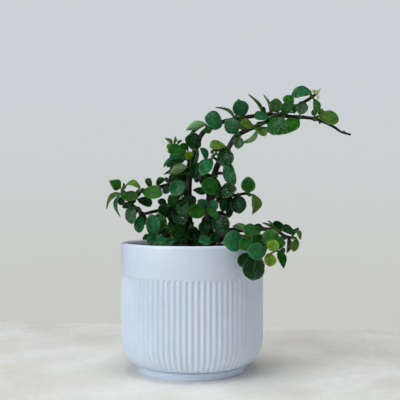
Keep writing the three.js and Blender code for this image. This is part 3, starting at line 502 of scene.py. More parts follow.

# %% [markdown]
# ## Leaves
# A jade leaf is thick and spoon-shaped, narrow at its foot and round at its tip. Each row below is one leaf:
# where its foot and tip are seen from the front (x, z, x, z), the foot's depth, the length, with a minus
# where the tip points to the front, the turn about its rib in degrees, and width over length. The word is
# the leaf's tone in the photograph, partly its own colour and partly painted light: deep holds painted
# shade, bright painted light and teal a painted bluish reflection. The arch follows where it differs from
# the usual one.

# %% The shoots and their leaves
SHOOTS = {
    "left_tip": [
        (-60.8, 153, -69.6, 158.8, -14, -12.4, 10, 0.86, "bright"),
        (-59.6, 151.4, -57.8, 157, -12, 8, 60, 0.55, "deep"),
        (-61, 149.5, -72.8, 135, -14, 18.8, 68, 0.66, "olive", 0.14),
        (-61.4, 147.4, -60.8, 128.5, -16, 19, 70, 0.55, "teal", 0.16),
        (-60.5, 145.6, -45.6, 144.2, -17, -15.8, -40, 0.68, "bright"),
        (-60.2, 146, -59.6, 138.6, -12, 8, 0, 0.78, "green")],
    "left_bend": [
        (-43.6, 153, -58.4, 153, -12, 15.5, 62, 0.68, "olive", 0.28),
        (-42, 150, -25, 147.4, -19, -18, -20, 0.7, "bright"),
        (-46, 144.4, -34.8, 137.4, -15, -13.5, -40, 0.7, "deep"),
        (-47.6, 142.4, -54.6, 139.6, -12, 8, 20, 0.75, "deep")],
    "left_pair": [
        (-35.6, 153.6, -35.2, 161, -11, -12, -36, 0.72, "green"),
        (-27, 155, -28.2, 162, -8.4, -11, 25, 0.8, "green"),
        (-24.6, 153.6, -19, 149.6, -13, -8.6, 10, 0.8, "deep")],
    "left_hanging": [
        (-51.6, 139.6, -50.6, 123, -17, -16.7, 15, 0.62, "grey"),
        (-44, 130, -44.8, 115.4, -14, -14.6, 0, 0.62, "teal"),
        (-42, 133, -39.4, 122, -10, 12.5, 25, 0.72, "deep"),
        (-49, 139, -58.6, 136.6, -14, -10, 30, 0.62, "deep"),
        (-44.6, 137, -50.6, 131.6, -10, 9, 20, 0.8, "deep")],
    "left_inner": [
        (-22.5, 130, -26.6, 138.8, -14, -11, 0, 0.85, "deep"),
        (-19, 134, -22.6, 128, -3, -8.6, 20, 0.85, "deep"),
        (-21.6, 137, -28.4, 143, -10, 9.6, 20, 0.7, "deep")],
    "left_root": [
        (-15, 137, -19, 147, -9, -13, 20, 0.75, "green"),
        (-12.5, 136, -7, 122.5, -8, -17, 0, 0.8, "deep")],
    "rim_left": [
        (-32, 110.4, -34.6, 130.8, -33, -20.4, 8, 0.6, "teal"),
        (-28, 113, -28.6, 131.4, -27, 17, 25, 0.68, "green"),
        (-34, 111, -42, 110.4, -34, 9, 40, 0.7, "deep"),
        (-30, 110.4, -38, 107.4, -30, -8.8, 10, 0.8, "teal")],
    "rim_middle": [
        (-14, 116.4, -21.4, 119, -18, -8.4, 30, 0.75, "green"),
        (-18, 108.4, -26, 109.6, -26, -9, 20, 0.75, "teal"),
        (-11, 109, -18, 107.6, -20, -8, 30, 0.75, "teal"),
        (-17, 114, -27, 118.6, -20, 12, 20, 0.8, "deep"),
        (-22.4, 110.4, -30.4, 106.9, -31, -9.5, 12, 0.84, "teal"),
        (-24.2, 113.9, -20.6, 120.4, -30, -8.4, 24, 0.78, "deep"),
        (-15.6, 109.4, -22.6, 105.4, -36, -8.4, 0, 0.85, "teal")],
    "rim_root": [
        (-5, 114, -14, 108.6, -15, -11.5, 35, 0.8, "deep"),
        (-3, 109.6, -9.6, 106, -14, -8.6, 10, 0.84, "deep"),
        (0, 109.8, 5, 105, -20, -7.8, 0, 0.85, "deep")],
    "rim_right": [
        (17, 108.6, 6, 107.6, -16, -12, 35, 0.85, "teal"),
        (24, 113, 17, 107, -24, -10, 10, 0.85, "deep")],
    "crown_left_top": [
        (-16.8, 190.8, -23, 195.4, -4, 8.4, 50, 0.66, "olive"),
        (-13.4, 190.4, -8.6, 193.4, -2, 7, -50, 0.66, "olive"),
        (-15, 189.2, -21.6, 187, -4, -8.5, 45, 0.75, "olive"),
        (-15.2, 190.6, -14.2, 196.8, -4, -7, 55, 0.55, "olive")],
    "crown_left_side": [
        (-5, 184.5, -20.2, 183.6, -4, -16, 42, 0.86, "green"),
        (-4.6, 178.4, -24, 170.6, -5, 20, 76, 0.7, "teal", 0.12),
        (-7, 175.6, -21, 170.8, -8, -15, 60, 0.75, "deep"),
        (-3, 185.6, -10.6, 189.6, 2, 9.4, 30, 0.8, "green"),
        (-5.9, 181, -19, 177.4, 0.4, 13.8, 28, 0.7, "deep")],
    "crown_left_low": [
        (-4, 171.4, -19.6, 165.2, -5, -17.2, 150, 0.62, "pale"),
        (-9, 168.8, -24, 164.4, 0.6, 16, 68, 0.6, "deep"),
        (-0.6, 178, -4.6, 183.4, -6, -9, 0, 0.92, "yellow"),
        (-5, 169, -15, 164, 4, 11.5, 10, 0.8, "deep")],
    "inner_high": [
        (-5.4, 165.4, -13.5, 159, 0.6, 12.6, 30, 0.85, "deep"),
        (0.4, 166.4, 6, 159, 3, 11, -10, 0.8, "deep"),
        (-3.6, 163.4, -8.6, 157, 8, 8.6, -10, 0.8, "deep"),
        (-12, 164, -19, 159, 1, 9.4, 20, 0.8, "deep")],
    "inner_left": [
        (-6.6, 158.4, -17, 147.8, -6, -16, 10, 0.86, "teal"),
        (-7, 152, -15, 143.4, -1, 13, 30, 0.85, "deep")],
    "inner_low": [
        (-6, 147.2, -1.2, 134.4, -5, -14, 0, 0.8, "deep"),
        (-7, 143, -13.6, 136.6, 1, 12, 20, 0.85, "deep"),
        (-2.7, 140.2, -12, 132.4, -14.6, -13, 12, 0.82, "deep")],
    "inner_middle": [
        (4, 174.6, 2.8, 160.2, -3, -16, 4, 0.72, "deep"),
        (4.4, 177.8, 3.6, 184.6, 0.4, 7.6, 70, 0.54, "deep")],
    "upper_left": [(7.4, 189.4, -5.4, 195, -3, -15.6, 5, 0.9, "deep")],
    "upper_pale": [
        (11.4, 208, -5, 202.2, -1, -17.6, 150, 0.54, "pale"),
        (13, 205, 14.4, 199, -2, -9, 0, 0.85, "green")],
    "upper_fan": [
        (25.6, 207, 11.2, 212.6, -2, -16.6, 15, 0.96, "teal")],
    "fork_low": [
        (16.8, 177.6, 8, 164, -11, -18.5, 18, 0.64, "teal"),
        (12, 176.8, 8.2, 187.4, -9, 12, 40, 0.7, "teal"),
        (17, 182, 16.4, 185, -10, -5, 0, 0.7, "yellow"),
        (19, 181, 21.4, 183, -9, 5, 0, 0.7, "yellow")],
    "fork_side": [
        (20.6, 166, 28.6, 164.4, -8, 9.5, -75, 0.75, "deep"),
        (18, 163, 11, 162.2, -9, -10, 58, 0.8, "deep"),
        (19, 161.8, 6.6, 157.4, -4, 13, 20, 0.68, "deep")],
    "fork_top": [
        (28.6, 188.8, 15.4, 187.2, -9, -14, 42, 0.86, "olive"),
        (29.6, 187, 27, 171, -12, -17, 5, 0.84, "deep")],
    "fork_under": [
        (30, 177, 36.4, 156.4, -7, -22, 36, 0.6, "teal")],
    "arch_left": [
        (36, 212.8, 19.6, 221.4, 3, 19, 80, 0.62, "grey", 0.12),
        (44.8, 215, 37.4, 226, 1, -15.6, -8, 0.94, "teal")],
    "arch_under": [
        (39, 200.4, 29, 210.6, -12, -16, 0, 0.86, "teal"),
        (39.6, 196.8, 38.6, 186.2, -11, -12.5, 0, 0.8, "grey")],
    "arch_fork": [
        (52, 204.6, 41, 208.4, -13, -12.8, 38, 0.86, "olive"),
        (54.6, 203.4, 44.4, 191.4, -10, 16.5, 112, 0.7, "pale", -0.26),
        (57.2, 204.4, 62.2, 197.2, -13, -11, -8, 0.86, "olive")],
    "arch_spears": [
        (59.8, 217.4, 47.6, 232.8, 4, 20, 78, 0.6, "deep"),
        (66.6, 217, 60.6, 232.4, 3, 17, 74, 0.62, "grey", 0.07),
        (62, 217, 58, 221, 5, -8, 20, 0.7, "green")],
    "arch_middle": [
        (64.5, 213.6, 53, 212.1, -12.6, -13, 38, 0.9, "teal"),
        (63.4, 208.7, 55, 206.2, -13, -12, 70, 0.7, "deep"),
        (65.5, 210.8, 77, 199.2, -15, -17.4, -5, 0.98, "green"),
        (66.9, 213.7, 72.8, 211.6, -12, 8, -55, 0.85, "olive")],
    "arch_green": [
        (71.4, 217, 71.6, 228.4, -1, -13, -14, 0.88, "bright"),
        (78.8, 216.2, 80.4, 226, -3, -12.5, 8, 0.88, "green"),
        (86.4, 215.4, 84.6, 224.4, 5, 10, 20, 0.8, "deep")],
    "arch_back": [
        (85.4, 222.6, 79, 231.2, -4, 11, 10, 0.88, "bright")],
    "arch_low": [
        (90.8, 211, 77.6, 198.4, 2, -19, 20, 0.78, "bright")],
    "end_top": [
        (101.4, 234.2, 85.8, 229.8, -11, -17, 32, 0.64, "teal", 0.24),
        (102.8, 229.4, 104.6, 217, -9, 13.4, -40, 0.78, "bright")],
    "end_inner": [
        (94.7, 226.3, 91.2, 215, -12, -13.1, 2, 0.78, "grey")],
    "end_low": [
        (102.4, 214.6, 105, 219.6, 1.4, -8, 0, 0.7, "deep"),
        (107, 214.6, 123.8, 210.2, 8, -17.6, -20, 0.8, "olive"),
        (109, 213.2, 109.6, 220.4, 4, -7.4, 0, 0.8, "olive")],
    "centre_big": [
        (23.6, 151, 8, 155.8, -11, -17, 14, 0.86, "green"),
        (24, 150.6, 37.4, 151.6, -10, -17, -22, 0.82, "deep"),
        (25.6, 145, 26.6, 133.2, -10, -11.8, 0, 0.58, "deep"),
        (29.6, 141, 31.2, 127.8, -6, 13.6, -40, 0.7, "deep"),
        (27, 147, 33.4, 140.4, -3, 10, 0, 0.84, "deep")],
    "centre_root": [
        (11.4, 148.6, 0.8, 151.4, -9, -11.2, 30, 0.72, "deep"),
        (17.6, 143.6, 18.4, 133.4, -9, -11, 0, 0.8, "teal"),
        (20, 152, 13, 146, -2, 10, 0, 0.84, "deep")],
    "centre_down": [
        (37.4, 146.6, 40.6, 131.8, -13, -16, 0, 0.88, "deep")],
    "centre_end": [
        (47, 148.6, 47.4, 162.4, -12, -15, 0, 0.78, "green"),
        (50.9, 147.4, 51.2, 131, -12, -16.9, -52, 0.88, "olive", 0.16)],
    "trunk_front": [
        (12.4, 134.6, -2.4, 131.2, -14, -16, 10, 0.82, "bright"),
        (12.6, 138, 5, 142.6, -13, -11, -10, 0.8, "teal"),
        (17, 131, 30, 128.8, -7, 13.6, -66, 0.6, "deep"),
        (13, 136.6, 21, 127.6, -12.6, -13.4, -30, 0.6, "green")],
    "trunk_right": [
        (18.6, 129, 28.6, 115.6, -15, -18, 0, 0.86, "deep"),
        (11.6, 125.6, 9.6, 114.6, -14, -12, 0, 0.86, "deep"),
        (16, 119, 14, 108.8, 8, 11, 0, 0.8, "deep"),
        (17, 130, 9, 123.6, 4, 10.6, 0, 0.8, "deep")],
    "trunk_low": [
        (9, 118, 4.6, 107.6, -13, -12.4, 0, 0.84, "deep"),
        (23, 117, 22, 106.6, -9, 11.6, 0, 0.84, "deep"),
        (20, 123, 30, 112, 3, 14, 20, 0.84, "deep")],
    "soil_left": [
        (-6, 113, -15, 121, 2, 12.6, 20, 0.84, "deep"),
        (-9, 109.6, -20, 109.2, -2, -12, 10, 0.8, "deep"),
        (-8, 121, -19.6, 133, 6, 16.4, 10, 0.8, "deep"),
        (-14, 113, -23, 120, 10, 13, 20, 0.8, "deep")],
    "trunk_left": [
        (-6, 120, -16.6, 114.6, -9, -13.5, 40, 0.8, "green"),
        (-5, 124, -15, 127.4, 2, 12, 20, 0.8, "deep"),
        (2, 114, -1.6, 120.6, -12, -11, 0, 0.85, "deep"),
        (-1, 121.6, -9, 130.6, -12, -12.6, 10, 0.84, "deep")],
    "over_rim_first": [
        (43, 108.6, 26.6, 107.6, -60, -17.4, 4, 0.98, "teal"),
        (49.6, 108.6, 40.6, 101.6, -62, -13, 10, 0.86, "green")],
    "over_rim_top": [
        (48.6, 116.3, 35.2, 120.6, -52, 14.2, 58, 0.7, "grey"),
        (58, 113.2, 42.6, 117.4, -55, -15.6, 34, 0.8, "green"),
        (61, 117.8, 50, 119, -48, 12, 74, 0.7, "deep", 0.16)],
    "over_rim_middle": [
        (62.6, 98.4, 46.4, 100.6, -62, -16.6, 4, 0.82, "teal"),
        (62, 108, 49.6, 109.6, -57, -13, 10, 0.8, "green")],
    "over_rim_leaf": [(65, 102, 70.6, 117.4, -50, -18, -22, 0.86, "bright")],
    "over_rim_tip": [
        (66.6, 100, 70.8, 109.2, -58, -11, 0, 0.92, "yellow"),
        (66, 98, 66, 87, -56, -11, 0, 0.92, "yellow"),
        (73.6, 99.6, 77.6, 85.6, -50, -14.8, -30, 0.66, "green"),
        (73.4, 101, 76.6, 109, -46, 9.6, -10, 0.8, "green"),
        (73, 98.4, 79, 101.4, -46, 7.4, 20, 0.7, "deep")],
    "over_rim_hanging": [
        (54, 94.6, 51, 75.6, -58, -18.4, 0, 0.98, "deep"),
        (50, 97, 40.4, 87, -55, -13, 10, 0.84, "deep")],
    "far_right_spears": [
        (69.2, 118, 60, 123.4, -18, 11.4, 78, 0.6, "deep"),
        (70.2, 118.8, 64.6, 125.2, -16, 9.4, 78, 0.6, "deep"),
        (80.6, 115.8, 67.6, 121.2, -20, -15.8, 58, 0.8, "deep")],
    "back_high": [
        (3, 172, -3, 180, 29, 13, 20, 0.85, "green"),
        (4, 169, 8, 160, 28, 12, -20, 0.85, "deep"),
        (-1, 168, -11, 163, 25, -12, 30, 0.85, "deep")],
    "back_low": [
        (-8, 147, -12, 158, 32, 13, 0, 0.85, "green"),
        (-10, 142, -17, 135, 29, 12, 20, 0.85, "deep"),
        (-6, 144, 3, 140, 28, 12, -20, 0.85, "deep"),
        (-10, 137, -6, 126, 22, 12, 10, 0.85, "deep")],
    "back_right": [
        (27, 152, 34, 150, 25, 12, 0, 0.85, "green"),
        (25, 153.6, 17, 157, 24, 12, 0, 0.85, "deep"),
        (25, 149, 24, 140, 22, 11, 0, 0.85, "deep")],
    "back_rim": [
        (-27, 113, -36, 118, 38, 13, 20, 0.85, "green"),
        (-20, 115, -15, 123, 31, 13, 0, 0.85, "deep"),
        (-20, 113, -12, 110.5, 31, -11, 0, 0.8, "deep"),
        (-10, 114, -4, 121, 19, 12, 0, 0.85, "green")],
    "far_right_end": [
        (87, 114.4, 75.6, 118, -19, -14, 50, 0.8, "deep"),
        (88.8, 117.4, 92, 108.8, -17, 10, -48, 0.7, "olive"),
        (81.6, 112, 80.6, 98, -18, 14.2, -55, 0.6, "deep"),
        (89, 110, 86.6, 99.4, -20, -10.9, 38, 0.82, "olive"),
        (84, 116.4, 90.8, 118.6, -15, 8, 40, 0.7, "deep")],
}
print("shoots:", len(SHOOTS), "leaves:", sum(len(rows) for rows in SHOOTS.values()))

# %% [markdown]
# The plain model moves a leaf deeper where it would cross another, and hides a second leaf behind each large
# one. The same small rules are followed here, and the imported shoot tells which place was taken: its mesh has
# a corner exactly at each leaf's tip.

# %% Where the wood is, in short steps
FOOT_CLEAR = 1.7
WOOD_STEP = 2
RING_BEND = 1.3
wood_line = []
for name, points in limbs.items():
    for i in range(1, len(points)):
        (start, first), (stop, second) = points[i - 1], points[i]
        length = (stop - start).length
        steps = math.ceil(length / WOOD_STEP)
        for j in range(steps + 1 if i == len(points) - 1 else steps):
            share = j / steps
            wood_line.append({
                "limb": name, "at": start.lerp(stop, share), "along": (stop - start).normalized(),
                "radius": first + (second - first) * share,
                "straight": min(share, 1 - share) * length > RING_BEND})


def out_of_wood(place):
    nearest = min(wood_line, key=lambda step: (step["at"] - place).length - step["radius"])
    reach = nearest["radius"] + FOOT_CLEAR
    offset = place - nearest["at"]
    return nearest["at"] + offset.normalized() * reach if offset.length < reach else place


# %% The ring on its limb that holds each shoot
RING_HALF = 1.4
RING_REACH = 3.2
RING_SPACING = 3.3
BENT_SPACING = 10
SIDE_SPACING = 4.5


def is_alone(step):
    if not step["straight"]:
        return False
    for other in wood_line:
        offset = other["at"] - step["at"]
        if (other["limb"] != step["limb"] and abs(offset.dot(step["along"])) <= other["radius"] + RING_HALF
                and offset.length <= other["radius"] + step["radius"] + RING_REACH):
            return False
    return True


def rings_apart(step, other):
    if other["limb"] == step["limb"]:
        return RING_SPACING + BENT_SPACING * other["along"].angle(step["along"], 0)
    return other["radius"] + step["radius"] + SIDE_SPACING


alone = [step for step in wood_line if is_alone(step)]
collars = {}
for shoot, rows in SHOOTS.items():
    middle = sum((seen(row[0], row[1], row[4]) for row in rows), Vector()) / len(rows)
    free = [step for step in alone if all(
        (other["at"] - step["at"]).length > rings_apart(step, other) for other in collars.values())]
    collars[shoot] = min(free, key=lambda step: (step["at"] - middle).length - step["radius"])
print("rings:", len(collars))


# %% A leaf's own axes
ARCH = 0.05


def make_leaf(foot, rib, face, length, width, arch, tone):
    side = rib.cross(face).normalized()
    return {"foot": foot, "rib": rib, "side": side, "face": side.cross(rib), "length": length,
            "half": length * width / 2, "arch": arch, "tone": tone}


def leaf_from_row(row, deeper):
    x0, z0, x1, z1, depth, reach, turn, width, tone, *own_arch = row
    foot = out_of_wood(seen(x0, z0, depth + deeper))
    across = (seen(x1, z1, foot.y) - foot).length
    length = max(abs(reach), across)
    lean = math.copysign(math.sqrt(length * length - across * across), reach)
    rib = (seen(x1, z1, foot.y + lean) - foot).normalized()
    front = Vector((0, -1, 0))
    front = (front - rib * front.dot(rib)).normalized()
    front.rotate(Quaternion(rib, math.radians(turn)))
    return make_leaf(foot, rib, front, length, width, own_arch[0] if own_arch else ARCH, tone)


# %% Take each leaf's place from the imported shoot
DEEPER = [0, -1.5, 1.5, -3, 3, -4.5, 4.5, -6, 6, -8, 8, -10, 10, -12, 12]
TURNS = [0, 0.4, -0.4, 0.8, -0.8, 1.2, -1.2, 1.6, -1.6, 2, -2, 2.5, -2.5, 3]
TIP_MATCH = 0.08
drawn = 7


def draw():
    global drawn
    drawn = (drawn * 1103515245 + 12345) & 0x7FFFFFFF
    return drawn / 0x7FFFFFFF


def tip_finder(shoot):
    verts = nodes["leaves_" + shoot].data.vertices
    tree = KDTree(len(verts))
    for i, vert in enumerate(verts):
        tree.insert(vert.co / MM, i)
    tree.balance()
    return lambda leaf: tree.find(leaf["foot"] + leaf["rib"] * leaf["length"])[2] < TIP_MATCH


has_tip = {shoot: tip_finder(shoot) for shoot in SHOOTS}
front_leaves = []
missed = 0
for shoot, rows in SHOOTS.items():
    for number, row in enumerate(rows):
        choices = [leaf_from_row(row, deeper) for deeper in DEEPER]
        found = [leaf for leaf in choices if has_tip[shoot](leaf)]
        missed += not found
        leaf = (found or choices)[0]
        leaf["row"] = number
        front_leaves.append((shoot, leaf))
print("front leaves:", len(front_leaves), "without a tip in the frame:", missed)

# %% The second leaf behind a large one
# The leaves behind are mostly deep: their darkness is painted shade.
BEHIND_TONES = ["deep", "green", "deep", "deep", "olive"]
BEHIND_LENGTH = 13.4
BEHIND_DEPTH = 9
BEHIND_TURN = 0.6
BEHIND_SHARE = 0.82
BEHIND_DRAW = 0.2
BEHIND_STEP = 1.5
BEHIND_LEAN = 0.45
BEHIND_FACE = 0.1
behind_leaves = []
for shoot, leaf in front_leaves:
    depth = collars[shoot]["at"].y
    if leaf["length"] < BEHIND_LENGTH or depth > BEHIND_DEPTH:
        continue
    first_turn = (draw() - 0.5) * BEHIND_TURN
    length = leaf["length"] * (BEHIND_SHARE + BEHIND_DRAW * draw())
    foot_depth = max(2 * depth - leaf["foot"].y, depth + BEHIND_STEP)
    foot = out_of_wood(Vector((leaf["foot"].x, foot_depth, leaf["foot"].z)))
    for turn in TURNS:
        rib = Vector((leaf["rib"].x, max(-leaf["rib"].y, BEHIND_LEAN), leaf["rib"].z)).normalized()
        face = Vector((leaf["face"].x, max(-leaf["face"].y, BEHIND_FACE), leaf["face"].z))
        about = Quaternion((0, 1, 0), first_turn + turn)
        rib.rotate(about)
        face.rotate(about)
        tone = BEHIND_TONES[len(behind_leaves) % len(BEHIND_TONES)]
        behind = make_leaf(foot, rib, face, length, 2 * leaf["half"] / leaf["length"], leaf["arch"], tone)
        if has_tip[shoot](behind):
            behind_leaves.append((shoot, behind))
            break
print("leaves behind:", len(behind_leaves))

# %% [markdown]
# ## The shape of one leaf
# A sphere with its poles at the foot and the tip already has the right faces for a leaf: closed, with rings
# across the blade. Each ring is stretched to the blade's width and pressed flat to its thickness, cupped a
# little across and arched along. A subdivision then rounds it. Some leaves end in a point, and the numbers
# of their rows are listed under their shoot.

# %% Width and thickness along the rib
STATIONS = [(0, 0.14), (0.1, 0.44), (0.24, 0.8), (0.4, 1.01), (0.56, 1.1), (0.72, 1.07), (0.86, 0.88),
            (0.95, 0.6), (1.04, 0.0)]
POINTED_STATIONS = [(0, 0.14), (0.1, 0.5), (0.24, 0.9), (0.4, 1.08), (0.56, 0.98), (0.72, 0.72),
                    (0.86, 0.42), (0.95, 0.2), (1.04, 0.0)]
POINTED = {
    "left_tip": (0, 2, 3), "left_bend": (0,), "crown_left_top": (0, 1, 2, 3), "crown_left_low": (0, 1),
    "upper_pale": (0,), "arch_left": (0,), "arch_spears": (0, 1), "arch_low": (0,), "centre_end": (1,),
    "over_rim_tip": (2,), "far_right_end": (1,), "far_right_spears": (0, 1), "centre_root": (0,)}
FOLD = math.radians(19)
BLADE_THICKNESS = 2.0


def along_stations(share, stations):
    for (before, low), (after, high) in zip(stations, stations[1:]):
        if share <= after:
            return low + (high - low) * (share - before) / (after - before)
    return 0


def on_leaf(leaf, share, across, lift):
    half = leaf["half"] * along_stations(share, leaf["stations"])
    half *= 1 + leaf["skew"] * across + leaf["wave"] * math.sin(4 * share + 2 * across)
    cup = abs(across) * (0.35 + 0.65 * abs(across)) * half * math.sin(FOLD)
    rise = cup + leaf["arch"] * leaf["length"] * math.sin(math.pi * share)
    return (leaf["foot"] + leaf["rib"] * (leaf["length"] * share)
            + leaf["side"] * (half * across * math.cos(FOLD)) + leaf["face"] * (rise + lift))


# %% One blade, its tone and its stalk
RING_SHARES = [0.02, 0.13, 0.3, 0.48, 0.66, 0.82, 0.94, 1.01]
RING_SIDES = 10
# Besides each leaf's own colour, deep carries painted shade, bright painted light and teal a painted bluish
# reflection.
TONES = {
    "deep": (0, 56, 14), "green": (28, 98, 20), "bright": (46, 118, 20), "olive": (92, 136, 44),
    "yellow": (108, 160, 18), "teal": (36, 116, 66), "grey": (68, 112, 72), "pale": (132, 182, 124),
}
SHADES = (0.8, 1.25)
WARMTHS = (0.85, 1.2)
# Each leaf's gloss, which also sets how much painted sheen, a painted highlight, it gets.
GLOSS_AND_SHEEN_AMOUNTS = (0.15, 1.0)
STALK_TONE = rgb(62, 84, 40)
RING_TONE = rgb(58, 60, 38)


def add_blade(bm, layers, leaf, luck):
    sphere = bmesh.ops.create_uvsphere(bm, u_segments=RING_SIDES, v_segments=len(RING_SHARES) + 1, radius=1)
    verts = sorted(sphere["verts"], key=lambda vert: vert.co.z)
    ranks = {}
    red, green, blue, _ = rgb(*TONES[leaf["tone"]])
    shade = luck.uniform(*SHADES)
    warm = luck.uniform(*WARMTHS)
    gloss_and_sheen = luck.uniform(*GLOSS_AND_SHEEN_AMOUNTS)
    for vert in verts:
        height = round(vert.co.z, 4)
        ranks.setdefault(height, len(ranks))
        rank = ranks[height]
        angle = math.atan2(vert.co.y, vert.co.x)
        if rank == 0 or rank == len(RING_SHARES) + 1:
            share, across, up = (0 if rank == 0 else 1.03), 0, 0
        else:
            share = RING_SHARES[rank - 1]
            across, up = math.cos(angle), math.sin(angle)
            across = math.copysign(abs(across) ** 0.75, across)
        plump = BLADE_THICKNESS / 2 * (1.15 - 0.5 * share) * min(1, (1.04 - share) * 8 + 0.1)
        plump = min(plump, leaf["half"] * along_stations(share, leaf["stations"]) + 0.25)
        vert.co = on_leaf(leaf, share, across, up * plump)
        vert[layers["tone"]] = (red * shade * warm, green * shade, blue * shade, gloss_and_sheen)
        vert[layers["blade"]] = Vector((across * 0.5 + 0.5, share, up * 0.5 + 0.5))


def paint_new(bm, layers, before, colour):
    """Give the corners made since then one tone with no gloss and no painted sheen, and a place off the blade.
    """
    for vert in bm.verts:
        if vert not in before:
            vert[layers["tone"]] = (*colour[:3], 0)
            vert[layers["blade"]] = Vector((0.5, -0.2, 0.5))


def add_stalk(bm, layers, leaf, collar):
    out = leaf["foot"] - collar["at"]
    out = (out - collar["along"] * out.dot(collar["along"])).normalized()
    root = collar["at"] + out * (collar["radius"] - 0.2)
    reach = (leaf["foot"] - root).length
    bend = root + out * reach * 0.35
    line = []
    for i in range(6):
        t = i / 5
        at = root.lerp(bend, t).lerp(bend.lerp(leaf["foot"] + leaf["rib"] * 0.6, t), t)
        line.append((at, 0.95 - 0.3 * t if i else 1.25))
    before = set(bm.verts)
    tube(bm, line, 8)
    paint_new(bm, layers, before, STALK_TONE)


# %% [markdown]
# A pair of leaves grows from a swollen ring of the twig. The ring is a short fat tube round the limb.


# %% The ring at a shoot's foot
def add_ring(bm, layers, collar):
    before = set(bm.verts)
    radius = collar["radius"]
    shape = [(-1.5, 0.1), (-0.9, 0.5), (0, 0.75), (0.9, 0.5), (1.5, 0.1)]
    tube(bm, [(collar["at"] + collar["along"] * offset, radius + bulge) for offset, bulge in shape], 14)
    paint_new(bm, layers, before, RING_TONE)


# %% [markdown]
# The leaf's skin is waxy: a gloss over a deep colour. How thick the wax is differs from leaf to leaf, so
# some glint and some stay dull, and the same amount sets how much painted sheen a leaf gets. The upper side
# keeps its tone, the underside is paler and duller, and the rim is a thin light line, partly a pale margin
# and partly a painted highlight. Side veins run out from the rib in streaks, and in patches along them pale
# streaks of painted sheen are mixed into the colour. Tiny pale dots, the leaf's pores, are scattered over it.

# %% Waxy leaf
skin = Recipe("waxy_leaf")
place = skin.places()
painted = skin.node("ShaderNodeAttribute", attribute_name="tone")
tone, gloss_and_sheen = painted.outputs["Color"], painted.outputs["Alpha"]
blade = skin.node("ShaderNodeAttribute", attribute_name="blade").outputs["Vector"]
parts = skin.node("ShaderNodeSeparateXYZ", {0: blade})
across = skin.math("ABSOLUTE", skin.math("SUBTRACT", parts.outputs[0], 0.5))
share = parts.outputs[1]
below = skin.ramp(parts.outputs[2], 0.5, 0.2)
wander = skin.noise(place, 240, 3)

# %% Veins, as streaks that bend with a noise
slant = skin.math("ADD", skin.times(share, 6.5), skin.times(across, -6))
bent = skin.math("ADD", slant, skin.times(wander, 2.6))
vein = skin.math("SINE", skin.times(bent, 2 * math.pi))
streak = skin.ramp(vein, 0.35, 1.0)
patch = skin.ramp(skin.noise(place, 110, 2), 0.44, 0.62)
# Painted sheen: pale streaks in patches, a highlight painted into the colour, stronger on glossier leaves.
painted_sheen = skin.times(skin.times(streak, patch), gloss_and_sheen)

# %% Colour of the leaf
dim, lit = rgb(196, 186, 196), rgb(255, 255, 250)
body_tone = skin.mix(1.0, tone, skin.mix(skin.ramp(wander, 0.3, 0.7), dim, lit), "MULTIPLY")
# The painted sheen, a painted highlight, is mixed into the leaf's colour here.
with_painted_sheen = skin.mix(skin.times(painted_sheen, 0.33), body_tone, rgb(134, 196, 158))
rib_line = skin.times(skin.ramp(across, 0.05, 0.0), skin.ramp(share, 0.85, 0.3))
with_rib = skin.mix(skin.times(rib_line, 0.3), with_painted_sheen, rgb(90, 150, 50))
# The light rim line is partly a pale margin and partly a painted highlight along the edge.
rim = skin.math("MAXIMUM", skin.ramp(across, 0.43, 0.5), skin.ramp(share, 0.93, 1.0))
edge = skin.times(rim, 0.34)
with_rim_and_highlight = skin.mix(edge, with_rib, rgb(120, 168, 84))
under = skin.mix(0.3, tone, rgb(120, 156, 96))
sided = skin.mix(skin.times(below, 0.8), with_rim_and_highlight, under)
pores = skin.node("ShaderNodeTexVoronoi", {"Vector": place, "Scale": 1100}).outputs["Distance"]
dot = skin.times(skin.ramp(pores, 0.16, 0.06), 0.2)
dotted = skin.mix(dot, sided, rgb(170, 205, 150))
dents = skin.bump(skin.noise(place, 120, 1), 0.002, 0.9)
relief = skin.bump(vein, 0.0003, 0.7, dents)
above = skin.ramp(below, 1, 0)
thick_wax = skin.times(skin.ramp(gloss_and_sheen, 0.15, 1.0, 0.04, 1.0), above)
coat = skin.times(thick_wax, skin.ramp(patch, 0, 1, 0.4, 1.0))
skin.set(Base_Color=dotted, Specular_IOR_Level=0.16,
              Roughness=skin.ramp(below, 0, 1, 0.22, 0.5),
              Coat_Weight=coat, Coat_Roughness=0.08, Coat_Normal=relief, Normal=relief)

# %% Build every shoot
leaf_total = 0
for shoot in SHOOTS:
    bm = bmesh.new()
    layers = {
        "tone": bm.verts.layers.float_color.new("tone"),
        "blade": bm.verts.layers.float_vector.new("blade")}
    luck = random.Random("jade " + shoot)
    own = [leaf for name, leaf in front_leaves + behind_leaves if name == shoot]
    add_ring(bm, layers, collars[shoot])
    for leaf in own:
        leaf["stations"] = POINTED_STATIONS if leaf.get("row") in POINTED.get(shoot, ()) else STATIONS
        leaf["skew"] = luck.uniform(-0.1, 0.1)
        leaf["wave"] = luck.uniform(-0.07, 0.07)
        add_stalk(bm, layers, leaf, collars[shoot])
        add_blade(bm, layers, leaf, luck)
    bmesh.ops.recalc_face_normals(bm, faces=bm.faces)
    piece = finish_piece("shoot_" + shoot, bm, skin, replaced="leaves_" + shoot)
    smoother = piece.modifiers.new("rounded", "SUBSURF")
    smoother.levels = 1
    smoother.render_levels = 1
    leaf_total += len(own)
print("leaves made:", leaf_total)

# %% [markdown]
# The second leader ends in three young buds, plump and cream-coloured, with brown patches where they have
# dried. They are short tubes, fat in the middle.

